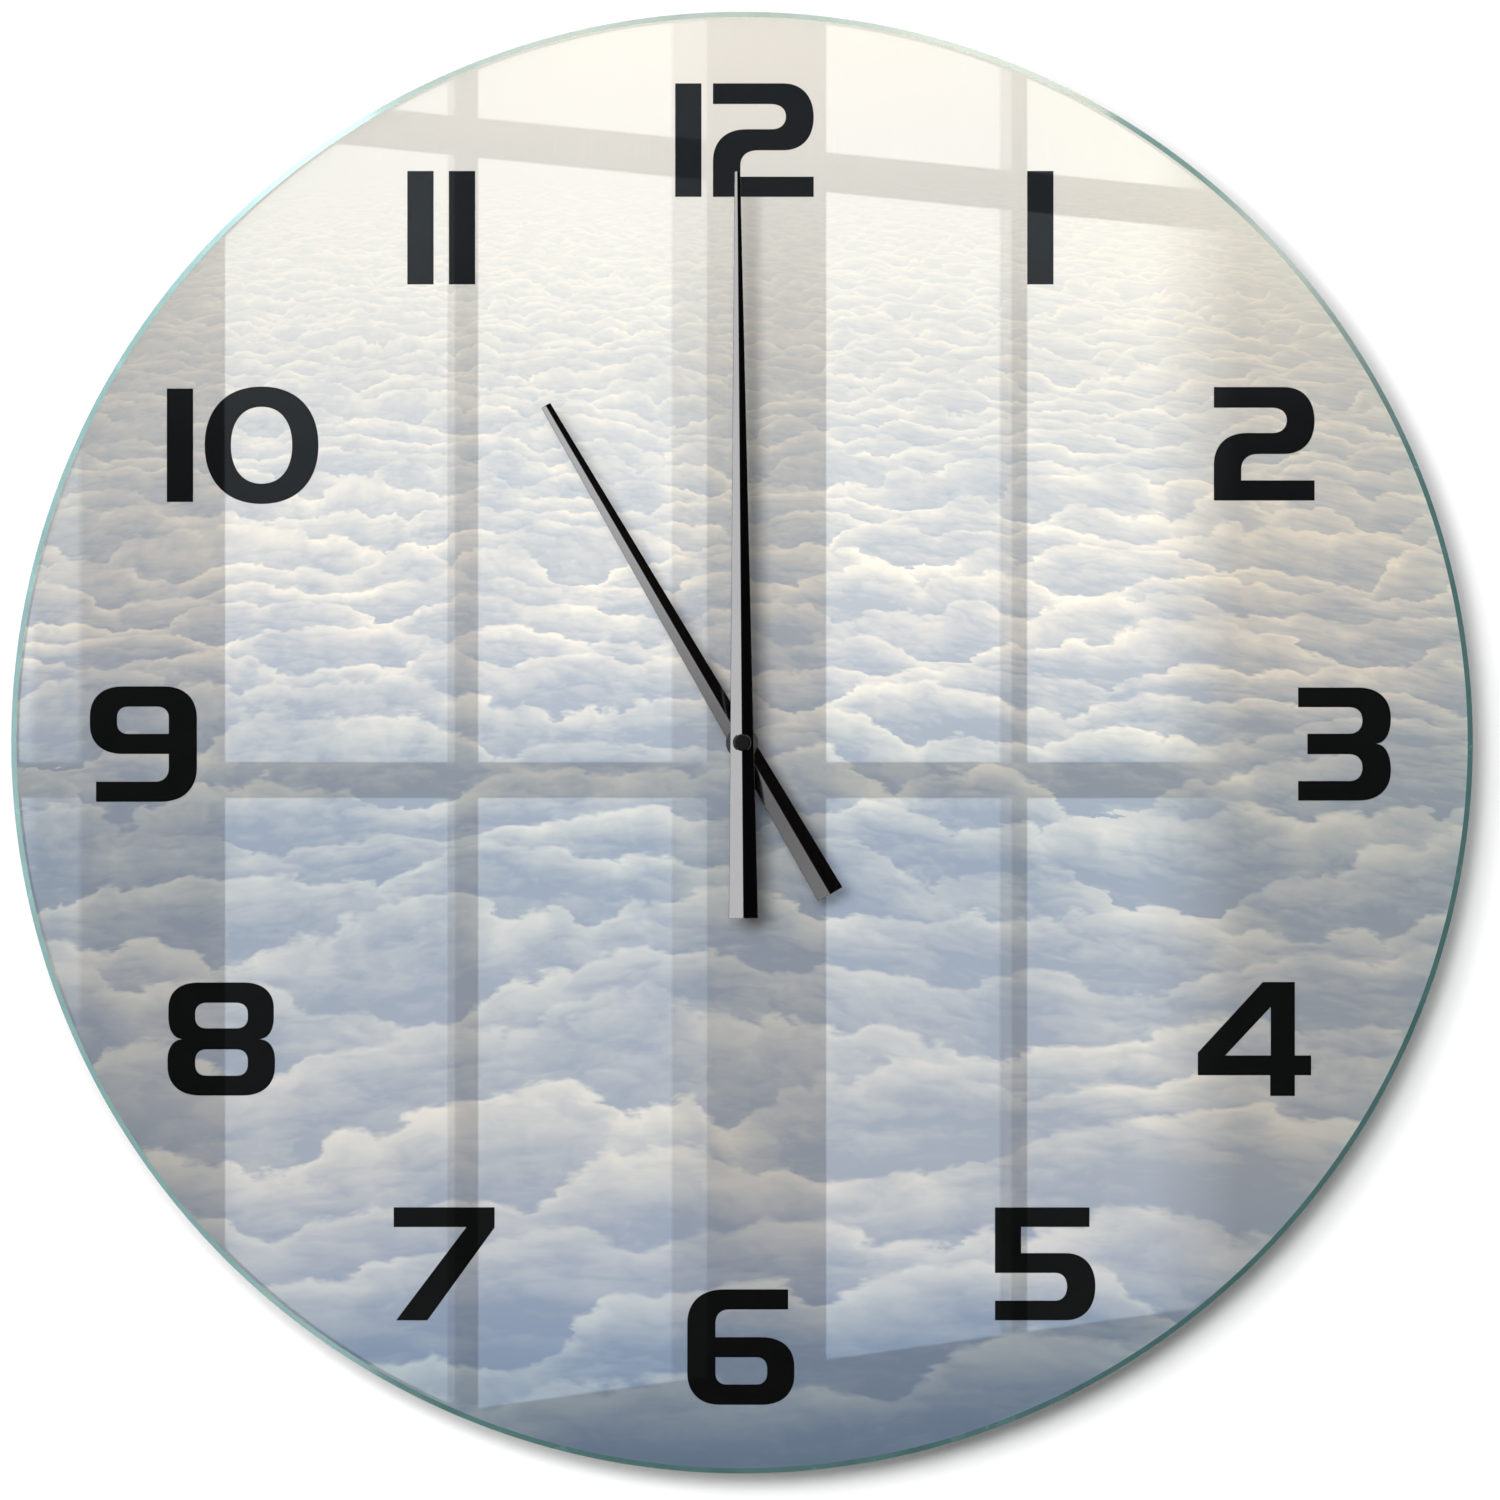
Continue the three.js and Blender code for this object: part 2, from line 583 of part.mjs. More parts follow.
function movementCase() {
  const h = insideHalf;
  const root = frontIn + FUSE;
  const blockHalf = HANGER_HALF + BLOCK_MARGIN;
  const hangerSlot = HANGER_HALF + SEAT;
  const hollow = cut(
    slab(roundRect(-caseHalf, caseHalf, -caseHalf, caseHalf, CASE_CORNER), 0, caseDepth),
    slab(roundRect(-h, h, trainFloor, h, CASE_CORNER - WALL), -THROUGH, frontIn),
    box(-h, h, -h, bayTop, -THROUGH, frontIn),
  );
  const shell = join(
    hollow,
    ...posts.map(([x, y]) => rod({ x, y }, POST_R, coverIn + SEAT, root, ROUND)),
    ...[...platePillars(), ...boardPillars()].map((at) => rod(at, PILLAR_R, at.seat, root)),
    box(-blockHalf, blockHalf, blockY, h + FUSE, blockZ, root),
    rod(centre, BOSS_R, root, caseDepth + PAD_T / 2, ROUND),
  );
  return cut(
    shell,
    box(-hangerSlot, hangerSlot, blockY - THROUGH, caseHalf + THROUGH, -THROUGH, blockZ),
    box(-NOTCH_HALF, NOTCH_HALF, -caseHalf - THROUGH, -h + FUSE, -THROUGH, NOTCH_DEPTH),
    rod(centre, hourPipeR + RUN, frontIn - THROUGH, caseDepth + PAD_T, ROUND),
    rod(motion, STEM_TIP_R + RUN, frontIn - BOND, frontIn + PIVOT_DEPTH + BOND),
    box(...tabSlot()),
    ...bores(posts, SCREW_R + BOND, 0, COVER_RECESS + SCREW_LENGTH + THROUGH),
    ...bores(hangerScrews, SCREW_R + BOND, 0, blockZ + SCREW_LENGTH + THROUGH),
  );
}

// Pillars that carry the middle plate, clear of every wheel
function platePillars() {
  const seat = plateFront + SEAT;
  const low = plateBottom() + PILLAR_INSET;
  const high = plateTop - PILLAR_INSET;
  return [plateLeft + PILLAR_INSET, plateRight - PILLAR_INSET]
    .flatMap((x) => [{ x, y: low, seat }, { x, y: high, seat }]);
}

function boardPillars() {
  const seat = boardZ + BOARD_T + SEAT;
  const x = insideHalf - BOARD_W / 2;
  return [{ x, y: boardTop - BOARD_PILLAR, seat },
    { x: x + BOARD_STAGGER, y: boardBottom + BOARD_PILLAR, seat }];
}

const plateBottom = () => trainFloor + PLATE_FOOT;

// The slot in the bay's wall for the contact's tab to the board
function tabSlot() {
  const x = boardLeft + TAB_INSET;
  const front = boardZ + BOARD_T + BOND;
  return [x - SLOT_PLAY, x + STRIP_W + SLOT_PLAY, bayTop - FUSE, trainFloor + FUSE,
    front - SLOT_PLAY, front + CONTACT_T + SLOT_PLAY];
}

// The cover lies inside the case's rear rim and carries four arbors in blind bosses
function backCover() {
  const h = insideHalf - SEAT;
  const corner = CASE_CORNER - WALL - SEAT;
  const blockHalf = HANGER_HALF + BLOCK_MARGIN + SEAT;
  const end = coverIn + THROUGH;
  const arbors = [centre, third, fifth, rotor];
  const sheet = cut(
    slab(roundRect(-h, h, trainFloor + SEAT, h, corner), COVER_RECESS, coverIn),
    box(-blockHalf, blockHalf, blockY - SEAT, h + THROUGH, 0, end),
  );
  const bossed = join(
    sheet,
    ...arbors.map((at) => rod(at, BEARING_R, coverIn - FUSE, coverIn + BEARING_H)),
  );
  return cut(
    bossed,
    ...arbors.map((at) => rod(at, ARBOR_R + RUN, arborEnd - RUN, end)),
    rod(motion, STEM_R + 2 * RUN, 0, end, ROUND),
    ...bores(posts, SCREW_R + 2 * BOND, 0, end),
  );
}

function middlePlate() {
  const low = plateZ - THROUGH;
  const high = plateFront + THROUGH;
  const stud = statorFront + SEAT;
  const studs = [{ x: coreLeft + STUD_INSET, y: armY },
    { x: plateRight - STUD_INSET - PILLAR_INSET, y: armY + ARM_W / 2 }];
  const plate = join(
    slab(roundRect(plateLeft, plateRight, plateBottom(), plateTop, PLATE_CORNER), plateZ, plateFront),
    ...studs.map((at) => rod(at, STUD_R, stud, plateZ + FUSE)),
  );
  return cut(
    plate,
    ...[third, fifth, rotor].map((at) => rod(at, ARBOR_R + RUN, low, high)),
    rod(centre, MINUTE_NECK_R + RUN, low, high, ROUND),
    rod(motion, STEM_R + 2 * RUN, low, high, ROUND),
  );
}

// One screw for each place, its head just behind the surface it holds
function screws(name, places, surface) {
  const neck = surface - BOND;
  return places.map(([x, y], i) => piece(`${name}_${i + 1}`, join(
    rod({ x, y }, SCREW_HEAD_R, neck - SCREW_HEAD_T, neck),
    rod({ x, y }, SCREW_R, neck - FUSE, neck + SCREW_LENGTH, SCREW_SIDES),
  ), steel()));
}

// Step motor
function statorPlate() {
  const plan = (x0, x1, y0, y1) => box(x0, x1, y0, y1, statorZ, statorFront);
  const top = coilY + CORE_HALF + EAR_LIP;
  const low = statorZ - THROUGH;
  const high = statorFront + THROUGH;
  const plate = join(
    plan(coreLeft, rotor.x + STATOR_HALF, rotor.y - STATOR_HALF, rotor.y + STATOR_HALF),
    plan(coreLeft, coreLeft + ARM_W, rotor.y, top),
    plan(rotor.x, coreRight, armY, armY + ARM_W),
    plan(coreRight - ARM_W, coreRight, armY, top),
  );
  return cut(
    plate,
    rod(rotor, MAGNET_R + MAGNET_GAP, low, high, ROUND),
    rod(centre, tipRadius(CENTRE_TEETH, centreModule) + WHEEL_CLEAR, low, high, FINE),
    box(coreLeft - THROUGH, rotor.x - MAGNET_R, rotor.y - STATOR_SLIT / 2, rotor.y + STATOR_SLIT / 2,
      low, high),
  );
}

function coilCore() {
  return box(coreLeft, coreRight, coilY - CORE_HALF, coilY + CORE_HALF, coreZ, coreZ + STATOR_T);
}

function alongX(radius, x0, x1) {
  const geometry = new THREE.CylinderGeometry(radius, radius, x1 - x0, ROUND);
  return toSolid(geometry.rotateZ(Math.PI / 2).translate((x0 + x1) / 2, coilY, coilZ));
}

function coilBobbin() {
  const x0 = COIL_X - COIL_LENGTH / 2;
  const x1 = COIL_X + COIL_LENGTH / 2;
  const half = CORE_HALF + BOND;
  const spool = join(
    alongX(BARREL_R, x0, x1),
    alongX(COIL_R, x0, x0 + COIL_FLANGE),
    alongX(COIL_R, x1 - COIL_FLANGE, x1),
    box(x1 - COIL_FLANGE, boardLeft + TERMINAL_LAP, coilY - TERMINAL_HALF, coilY + TERMINAL_HALF,
      statorFront + SEAT, boardZ - SEAT),
  );
  return cut(spool, box(x0 - THROUGH, x1 + THROUGH, coilY - half, coilY + half,
    coreZ - BOND, coreZ + STATOR_T + BOND));
}

function coilWinding() {
  const x0 = COIL_X - COIL_LENGTH / 2 + COIL_FLANGE + BOND;
  const x1 = COIL_X + COIL_LENGTH / 2 - COIL_FLANGE - BOND;
  return cut(alongX(WINDING_R, x0, x1), alongX(BARREL_R + BOND, x0 - THROUGH, x1 + THROUGH));
}

// Electronics
function circuitBoard() {
  const outline = roundRect(boardLeft, insideHalf - SEAT, boardBottom, boardTop, BOARD_CORNER);
  return slab(outline, boardZ, boardZ + BOARD_T);
}

function quartzCrystal() {
  const geometry = new THREE.CylinderGeometry(CRYSTAL_R, CRYSTAL_R, CRYSTAL_LENGTH, SMALL);
  return toSolid(geometry.translate(crystalX, boardTop - CRYSTAL_DROP, boardZ - BOND - CRYSTAL_R));
}

// A drop of black resin over the chip
function chipCover() {
  const dome = [0, 30, 60].map((lift) => [CHIP_R * Math.cos(rad(lift)), -CHIP_H * Math.sin(rad(lift))]);
  const profile = [[0, -CHIP_H], ...dome.reverse(), [0, 0]];
  return turned(profile, ROUND).translate([insideHalf - BOARD_W / 2, CHIP_RISE, boardZ - BOND]);
}

// Cell and contacts
function cell() {
  const can = CELL_LENGTH - CELL_NUB;
  const end = CELL_R - CELL_EDGE;
  const profile = [[0, 0], [end, 0], [CELL_R, CELL_EDGE], [CELL_R, can - CELL_EDGE], [end, can],
    [CELL_NUB_R, can], [CELL_NUB_R, can + CELL_NUB], [0, can + CELL_NUB]];
  return turned(profile, ROUND).rotate([0, 90, 0]).translate([-CELL_LENGTH / 2, cellY, cellZ]);
}

// A leaf bent towards the cell, with a strip along the bay to the board
function contactNegative() {
  const x = -insideHalf + BOND;
  const inner = x + CONTACT_T;
  const front = frontIn - BOND;
  const low = front - STRIP_W;
  const crest = -CELL_LENGTH / 2 - BOND;
  const far = 2 * cellZ - LEAF_FOOT;
  const y = bayTop - BOND;
  const [slotX, , , , slotZ] = tabSlot();
  const tabX = slotX + SLOT_PLAY;
  const tabZ = slotZ + SLOT_PLAY;
  const bend = [[x, LEAF_FOOT], [inner, LEAF_FOOT], [crest, cellZ], [inner, far], [inner, front],
    [x, front], [x, far], [crest - CONTACT_T, cellZ]];
  const outline = new THREE.Shape(bend.map(([px, pz]) => new THREE.Vector2(px, pz)));
  const leaf = slab(outline, -LEAF_HALF, LEAF_HALF).rotate([90, 0, 0]).translate([0, cellY, 0]);
  return join(
    leaf,
    box(x, inner, cellY, y, low, front),
    box(x, tabX + STRIP_W, y - CONTACT_T, y, low, front),
    box(tabX, tabX + STRIP_W, y - CONTACT_T, boardBottom + TAB_LAP, tabZ, tabZ + CONTACT_T),
  );
}

function contactPositive() {
  const x = insideHalf - BOND;
  const front = frontIn - BOND;
  const y = bayTop - BOND;
  return join(
    box(x - CONTACT_T, x, cellY - LEAF_HALF, cellY + LEAF_HALF, LEAF_FOOT, front),
    box(x - CONTACT_T, x, cellY, y, front - STRIP_W, front),
    box(x - POSITIVE_LEAD, x, y - CONTACT_T, y, front - STRIP_W, front),
  );
}

// Hanger: a plate with a pear-shaped eye, its narrow end up, and a rim of even width round it
function hangerPlate() {
  const tangent = eyeTangent;
  const across = Math.PI - eyeTangent;
  const shoulder = caseHalf + SHOULDER_RISE;
  const foot = blockY + BLOCK_STEP;
  const plate = new THREE.Shape();
  plate.moveTo(-HANGER_HALF, foot);
  plate.lineTo(HANGER_HALF, foot);
  plate.lineTo(HANGER_HALF, shoulder);
  plate.absarc(0, eyeY, EYE_R + EYE_RIM, 0, tangent);
  plate.absarc(0, apexY, APEX_R + EYE_RIM, tangent, across);
  plate.absarc(0, eyeY, EYE_R + EYE_RIM, across, Math.PI);
  plate.lineTo(-HANGER_HALF, shoulder);
  const eye = new THREE.Path();
  eye.absarc(0, eyeY, EYE_R, across, 2 * Math.PI + tangent);
  eye.absarc(0, apexY, APEX_R, tangent, across);
  plate.holes.push(eye);
  return cut(
    slab(plate, hangerZ, hangerZ + HANGER_T),
    ...bores(hangerScrews, SCREW_R + 2 * BOND, hangerZ - THROUGH, hangerZ + HANGER_T + THROUGH),
  );
}

// Finishes
const finish = (color, roughness, metalness = 0, more = {}) => new THREE.MeshStandardMaterial(
  { color, roughness, metalness, ...more });
const plastic = (color) => finish(color, 0.55);
const steel = () => finish('#b9bcc0', 0.35, 0.9);
const brass = () => finish('#c0a05a', 0.35, 0.9);
const blackSheet = () => finish('#151517', 0.32, 0.4);

function piece(name, solid, material) {
  const mesh = new THREE.Mesh(toGeometry(solid), material);
  mesh.name = name;
  return mesh;
}

function group(...meshes) {
  const set = new THREE.Group();
  set.add(...meshes);
  return set;
}

const dial = () => group(
  piece('glass_dial', glassDial(), finish('#dfece8', 0.03, 0, { transparent: true, opacity: 0.35 })),
  piece('printed_film', printedFilm(), finish('#b4bac0', 0.6)),
  piece('foam_pad', foamPad(), finish('#e8e8e4', 0.95)),
  piece('wall_spacer_left', wallSpacer(-1), finish('#2b2b2d', 0.8)),
  piece('wall_spacer_right', wallSpacer(1), finish('#2b2b2d', 0.8)),
);

const hands = () => group(
  piece('hour_hand', hourHand(), blackSheet()),
  piece('minute_hand', minuteHand(), blackSheet()),
  piece('centre_cap', centreCap(), finish('#0c0c0d', 0.2)),
);

const train = () => group(
  piece('seconds_wheel', secondsWheel(), plastic('#e9e6da')),
  piece('third_wheel', thirdWheel(), plastic('#e9e6da')),
  piece('centre_wheel', centreWheel(), plastic('#d8d4c6')),
  piece('fifth_wheel', fifthWheel(), plastic('#e9e6da')),
  piece('rotor_pinion', rotorPinion(), plastic('#cfd6cf')),
  piece('rotor_magnet', rotorMagnet(), finish('#3b3d40', 0.4, 0.7)),
  piece('cannon_pinion', cannonPinion(), brass()),
  piece('motion_wheel', motionWheel(), plastic('#d8d4c6')),
  piece('hour_wheel', hourWheel(), plastic('#d8d4c6')),
  piece('setting_knob', settingKnob(), plastic('#d9d9d6')),
);

const housing = () => group(
  piece('movement_case', movementCase(), plastic('#1b1b1d')),
  piece('back_cover', backCover(), plastic('#1b1b1d')),
  piece('middle_plate', middlePlate(), plastic('#2e2f33')),
  piece('hanger_plate', hangerPlate(), steel()),
  ...screws('cover_screw', posts, COVER_RECESS),
  ...screws('hanger_screw', hangerScrews, hangerZ),
);

const motor = () => group(
  piece('stator', statorPlate(), steel()),
  piece('coil_core', coilCore(), steel()),
  piece('coil_bobbin', coilBobbin(), plastic('#f0eee6')),
  piece('coil_winding', coilWinding(), finish('#b5673a', 0.35, 0.8)),
  piece('circuit_board', circuitBoard(), finish('#2f6b3c', 0.5)),
  piece('quartz_crystal', quartzCrystal(), steel()),
  piece('chip_cover', chipCover(), plastic('#101011')),
  piece('battery', cell(), finish('#3c4148', 0.35, 0.6)),
  piece('contact_negative', contactNegative(), steel()),
  piece('contact_positive', contactPositive(), steel()),
);

const clock = group(dial(), hands(), train(), housing(), motor());
clock.rotation.x = Math.PI / 2;
clock.position.z = -nailY;

const part = group(clock);
part.name = 'glass_wall_clock';

export default part;
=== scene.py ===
# Round glass wall clock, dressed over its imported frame.
# Shapes are drawn as the part's source draws them: millimetres, facing the viewer, x right and
# y up from the dial's axis, z out of the wall. TO_ROOM then puts them where the frame has them.
import math
from functools import partial

import bmesh
import bpy
from mathutils import Matrix, Vector


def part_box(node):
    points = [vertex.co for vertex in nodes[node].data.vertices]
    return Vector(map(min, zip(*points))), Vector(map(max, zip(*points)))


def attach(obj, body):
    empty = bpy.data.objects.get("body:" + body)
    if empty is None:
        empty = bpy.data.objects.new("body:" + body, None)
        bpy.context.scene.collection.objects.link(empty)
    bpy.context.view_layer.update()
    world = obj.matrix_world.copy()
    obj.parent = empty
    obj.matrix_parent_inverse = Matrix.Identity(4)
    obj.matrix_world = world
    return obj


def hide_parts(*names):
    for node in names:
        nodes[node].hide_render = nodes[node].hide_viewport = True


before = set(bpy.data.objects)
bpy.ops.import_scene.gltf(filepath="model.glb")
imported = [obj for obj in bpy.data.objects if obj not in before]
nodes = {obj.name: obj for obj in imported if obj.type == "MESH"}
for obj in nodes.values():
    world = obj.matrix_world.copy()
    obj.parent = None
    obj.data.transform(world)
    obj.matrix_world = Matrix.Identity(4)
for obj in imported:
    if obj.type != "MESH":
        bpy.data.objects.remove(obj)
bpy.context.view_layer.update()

MM = 0.001
scene = bpy.context.scene

dial_low, dial_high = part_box("glass_dial")
AXIS_Z = (dial_low.z + dial_high.z) / 2
DIAL_D = (dial_high.z - dial_low.z) / MM
TO_ROOM = (Matrix.Translation((0, 0, AXIS_Z)) @ Matrix.Rotation(math.pi / 2, 4, "X")
           @ Matrix.Scale(MM, 4))


def span(node_name):
    """(x0, x1, y0, y1, z0, z1) of a CAD node in the drawing's millimetres."""
    low, high = (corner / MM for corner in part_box(node_name))
    lift = AXIS_Z / MM
    return low.x, high.x, low.z - lift, high.z - lift, -high.y, -low.y


# ---------------------------------------------------------------- nodes

def linear(code):
    """An sRGB hex colour as linear RGBA."""
    parts = [int(code[i:i + 2], 16) / 255 for i in (1, 3, 5)]
    return tuple(c / 12.92 if c <= 0.04045 else ((c + 0.055) / 1.055) ** 2.4
                 for c in parts) + (1.0,)


def node(tree, kind, *values, out=0, stops=(), **settings):
    """Adds a node and returns one of its outputs, or all for None. Its kind is its type without
    the tree's family name, or a Math node's operation in capitals. Its inputs get the values in
    their order, or a dict's by name: a socket is linked, anything else is set. stops are those
    of a colour ramp. A tree's maker binds this to the tree and calls it add."""
    if kind.isupper():
        kind, settings["operation"] = "Math", kind
    family = "" if "Node" in kind else tree.bl_idname.removesuffix("Tree")
    made = tree.nodes.new(family + kind)
    for name, value in settings.items():
        setattr(made, name, value)
    named = values[0] if values and isinstance(values[0], dict) else dict(enumerate(values))
    for key, value in named.items():
        if isinstance(value, bpy.types.NodeSocket):
            tree.links.new(value, made.inputs[key])
        else:
            made.inputs[key].default_value = value
    items = made.color_ramp.elements if stops else ()
    while len(items) < len(stops):
        items.new(0.5)
    for item, (place, colour) in zip(items, stops):
        item.position = place
        item.color = linear(colour) if isinstance(colour, str) else (colour,) * 3 + (1.0,)
    return made.outputs if out is None or not made.outputs else made.outputs[out]


def new_group(name, family, output, **inputs):
    """A node group with named sockets and their kinds, its add and what it is given."""
    group = bpy.data.node_groups.new(name, family)
    for label, kind in inputs.items():
        group.interface.new_socket(label, in_out="INPUT", socket_type="NodeSocket" + kind)
    group.interface.new_socket(output[0], in_out="OUTPUT", socket_type="NodeSocket" + output[1])
    add = partial(node, group)
    return group, add, add("NodeGroupInput", out=None)


def emptied(owner):
    """The add of a material's, lamp's or world's tree, once that is empty."""
    owner.use_nodes = True
    owner.node_tree.nodes.clear()
    return partial(node, owner.node_tree)


def new_material(name):
    """A node material and its add."""
    material = bpy.data.materials.new(name)
    return material, emptied(material)


def own_xyz(add):
    """The x, y and z of a place in the object's own coordinates."""
    return add("SeparateXYZ", add("TexCoord", out="Object"), out=None)


# ---------------------------------------------------------------- materials

GRAIN_SHARE = 0.35        # of the tone; the blotches have the rest


def surface(name, light, dark, grain, roughness, metallic=0.0, bump=0.0, stretch=(1, 1, 1),
            blotch=8.0, spread=0.08, coat=0.0, coat_roughness=0.1, specular=0.5, cells=False):
    """A plain manufactured finish: two near tones in blotches, a grain of real size in
    millimetres that varies the roughness and stands up as bump."""
    material, add = new_material(name)
    place = add("TexCoord", out="Object")
    fine_place = add("Mapping", {"Vector": place, "Scale": stretch})
    tone = add("TexNoise", {"Vector": place, "Scale": 1 / (blotch * MM), "Detail": 3.0,
                            "Roughness": 0.55})
    if cells:
        fine = add("TexVoronoi", {"Vector": fine_place, "Scale": 1 / (grain * MM)})
    else:
        fine = add("TexNoise", {"Vector": fine_place, "Scale": 1 / (grain * MM),
                                "Detail": 2.0, "Roughness": 0.6})
    tone = add("MULTIPLY", tone, 1 - GRAIN_SHARE)
    both = add("MULTIPLY_ADD", fine, GRAIN_SHARE, tone)
    links = {
        "Base Color": add("ValToRGB", both, stops=[(0.32, dark), (0.68, light)]),
        "Roughness": add("MapRange", fine, 0.25, 0.75, roughness - spread, roughness + spread),
        "Metallic": metallic, "Coat Weight": coat, "Coat Roughness": coat_roughness,
        "Specular IOR Level": specular}
    if bump:
        links["Normal"] = add("Bump", {"Height": fine, "Strength": 0.35, "Distance": bump * MM})
    add("OutputMaterial", add("BsdfPrincipled", links))
    return material


def float_glass():
    """Float glass: clear, hard mirror faces. Lamps shine through it on the print."""
    material, add = new_material("clear_float_glass")
    glass = add("BsdfPrincipled", {
        "Base Color": linear("#fdfefe"), "Roughness": 0.0, "IOR": 1.5, "Transmission Weight": 1.0})
    path = add("LightPath", out=None)
    through = add("MAXIMUM", path["Is Shadow Ray"], path["Is Diffuse Ray"])
    clear = add("BsdfTransparent", linear("#fefefe"))
    add("OutputMaterial", add("MixShader", through, glass, clear))
    return material


def polished_edge():
    """Ground and polished glass edge: the iron in the glass shows teal along its length, the
    polish mirrors what lies beside the clock, with a fine ripple from the wheel."""
    material, add = new_material("polished_glass_edge")
    ripple = add("TexNoise", {"Vector": add("TexCoord", out="Object"), "Scale": 1 / (9 * MM),
                              "Detail": 4.0, "Roughness": 0.6})
    add("OutputMaterial", add("BsdfPrincipled", {
        "Base Color": add("ValToRGB", ripple, stops=[(0.3, "#56807f"), (0.7, "#66908e")]),
        "Roughness": add("MapRange", ripple, 0.0, 1.0, 0.16, 0.34),
        "Metallic": 0.25, "Coat Weight": 1.0, "Coat Roughness": 0.08}))
    return material


# The picture: a sea of cloud seen from above, in banks that shrink towards a horizon.
HORIZON_DROP = 30.0       # mm, horizon below the dial's top
VANISHING = 37.0          # mm, the vanishing point left of the axis
GROWTH, POWER = 0.0185, 1.25   # depth of a bank: GROWTH * (mm below the horizon) ** POWER
NEAREST_MM = 5.0          # added to the distance, so that nothing shrinks to a point
PUFF_RATIO = 2.9          # width of a puff, in depths of a bank
BANK_HEIGHT = 1.25        # of a bank, in rows
BANK_SHIFT = 57.0         # how far apart the banks read their noise, so that no two are alike
BILLOW = 0.5              # how far the billows push the outlines, in rows
CREST_FADE = 1.7          # how fast the sun fades below a crest, over rows
TONE = 0.36               # share of crest colour in the haze, where no cloud stands out
HOLLOW, CREST = (0.71, 0.77, 0.86, 1.0), (1.60, 1.47, 1.25, 1.0)   # times the tint there
DOWN_TINTS = [            # share of the dial's height from its top
    (0.0, "#fcf4ea"), (0.1, "#eeeae3"), (0.17, "#e5e1d9"), (0.24, "#d5d2cd"), (0.31, "#cecdcb"),
    (0.375, "#d2cfcb"), (0.44, "#c6c5c5"), (0.51, "#b2b6ba"), (0.58, "#a5acb4"),
    (0.65, "#abafb5"), (0.79, "#afb0b3"), (0.855, "#a1a6b0"), (0.92, "#8c98a7"), (1.0, "#778798")]
ACROSS_W = 260.0          # mm, the width over which these run from left to right
ACROSS_TINTS = [(0.0, "#e8e8e9"), (0.385, "#f4f4f4"), (0.7, "#f4f4f4"), (0.88, "#fffcf7")]


def cloud_bank():
    """Where the crest of one bank lies, in rows, over a place across the picture in mm."""
    group, add, given = new_group("cloud_bank", "ShaderNodeTree", ("Crest", "Float"), Row="Float",
                                  Side="Float")
    row, side = given[:2]
    far = add("MULTIPLY", row, (1 - POWER) * GROWTH)
    size = add("POWER", far, POWER / (1 - POWER))
    size = add("MULTIPLY", size, GROWTH * PUFF_RATIO)
    across = add("DIVIDE", side, size)
    own = add("TexWhiteNoise", {"W": row}, noise_dimensions="1D", out="Value")
    along = add("MULTIPLY_ADD", own, BANK_SHIFT, across)
    swell = add("TexNoise", {"W": along, "Scale": 0.4, "Detail": 1.0}, noise_dimensions="1D")
    cell = add("TexVoronoi", {
        "W": along, "Scale": 0.8, "Detail": 3.0, "Roughness": 0.42, "Lacunarity": 2.4,
        "Smoothness": 0.25}, voronoi_dimensions="1D", feature="SMOOTH_F1", normalize=True)
    arch = add("MULTIPLY_ADD", add("POWER", cell, 1.6), -1.5, 0.6)
    swell = add("MULTIPLY_ADD", swell, 2.0, -0.75)
    height = add("ADD", arch, swell, use_clamp=True)
    add("NodeGroupOutput", add("MULTIPLY_ADD", height, -BANK_HEIGHT, row))
    return group


def cloud_puffs():
    """Height of the small billows on a bank."""
    group, add, given = new_group("cloud_puffs", "ShaderNodeTree", ("Height", "Float"),
                                  Place="Vector")
    cell = add("TexVoronoi", {
        "Vector": given[0], "Scale": 1.6, "Detail": 4.0, "Roughness": 0.55, "Lacunarity": 2.2,
        "Smoothness": 0.16}, voronoi_dimensions="2D", feature="SMOOTH_F1", normalize=True)
    cell = add("POWER", cell, 1.5)
    add("NodeGroupOutput", add("MULTIPLY_ADD", cell, -2.2, 1.0))
    return group


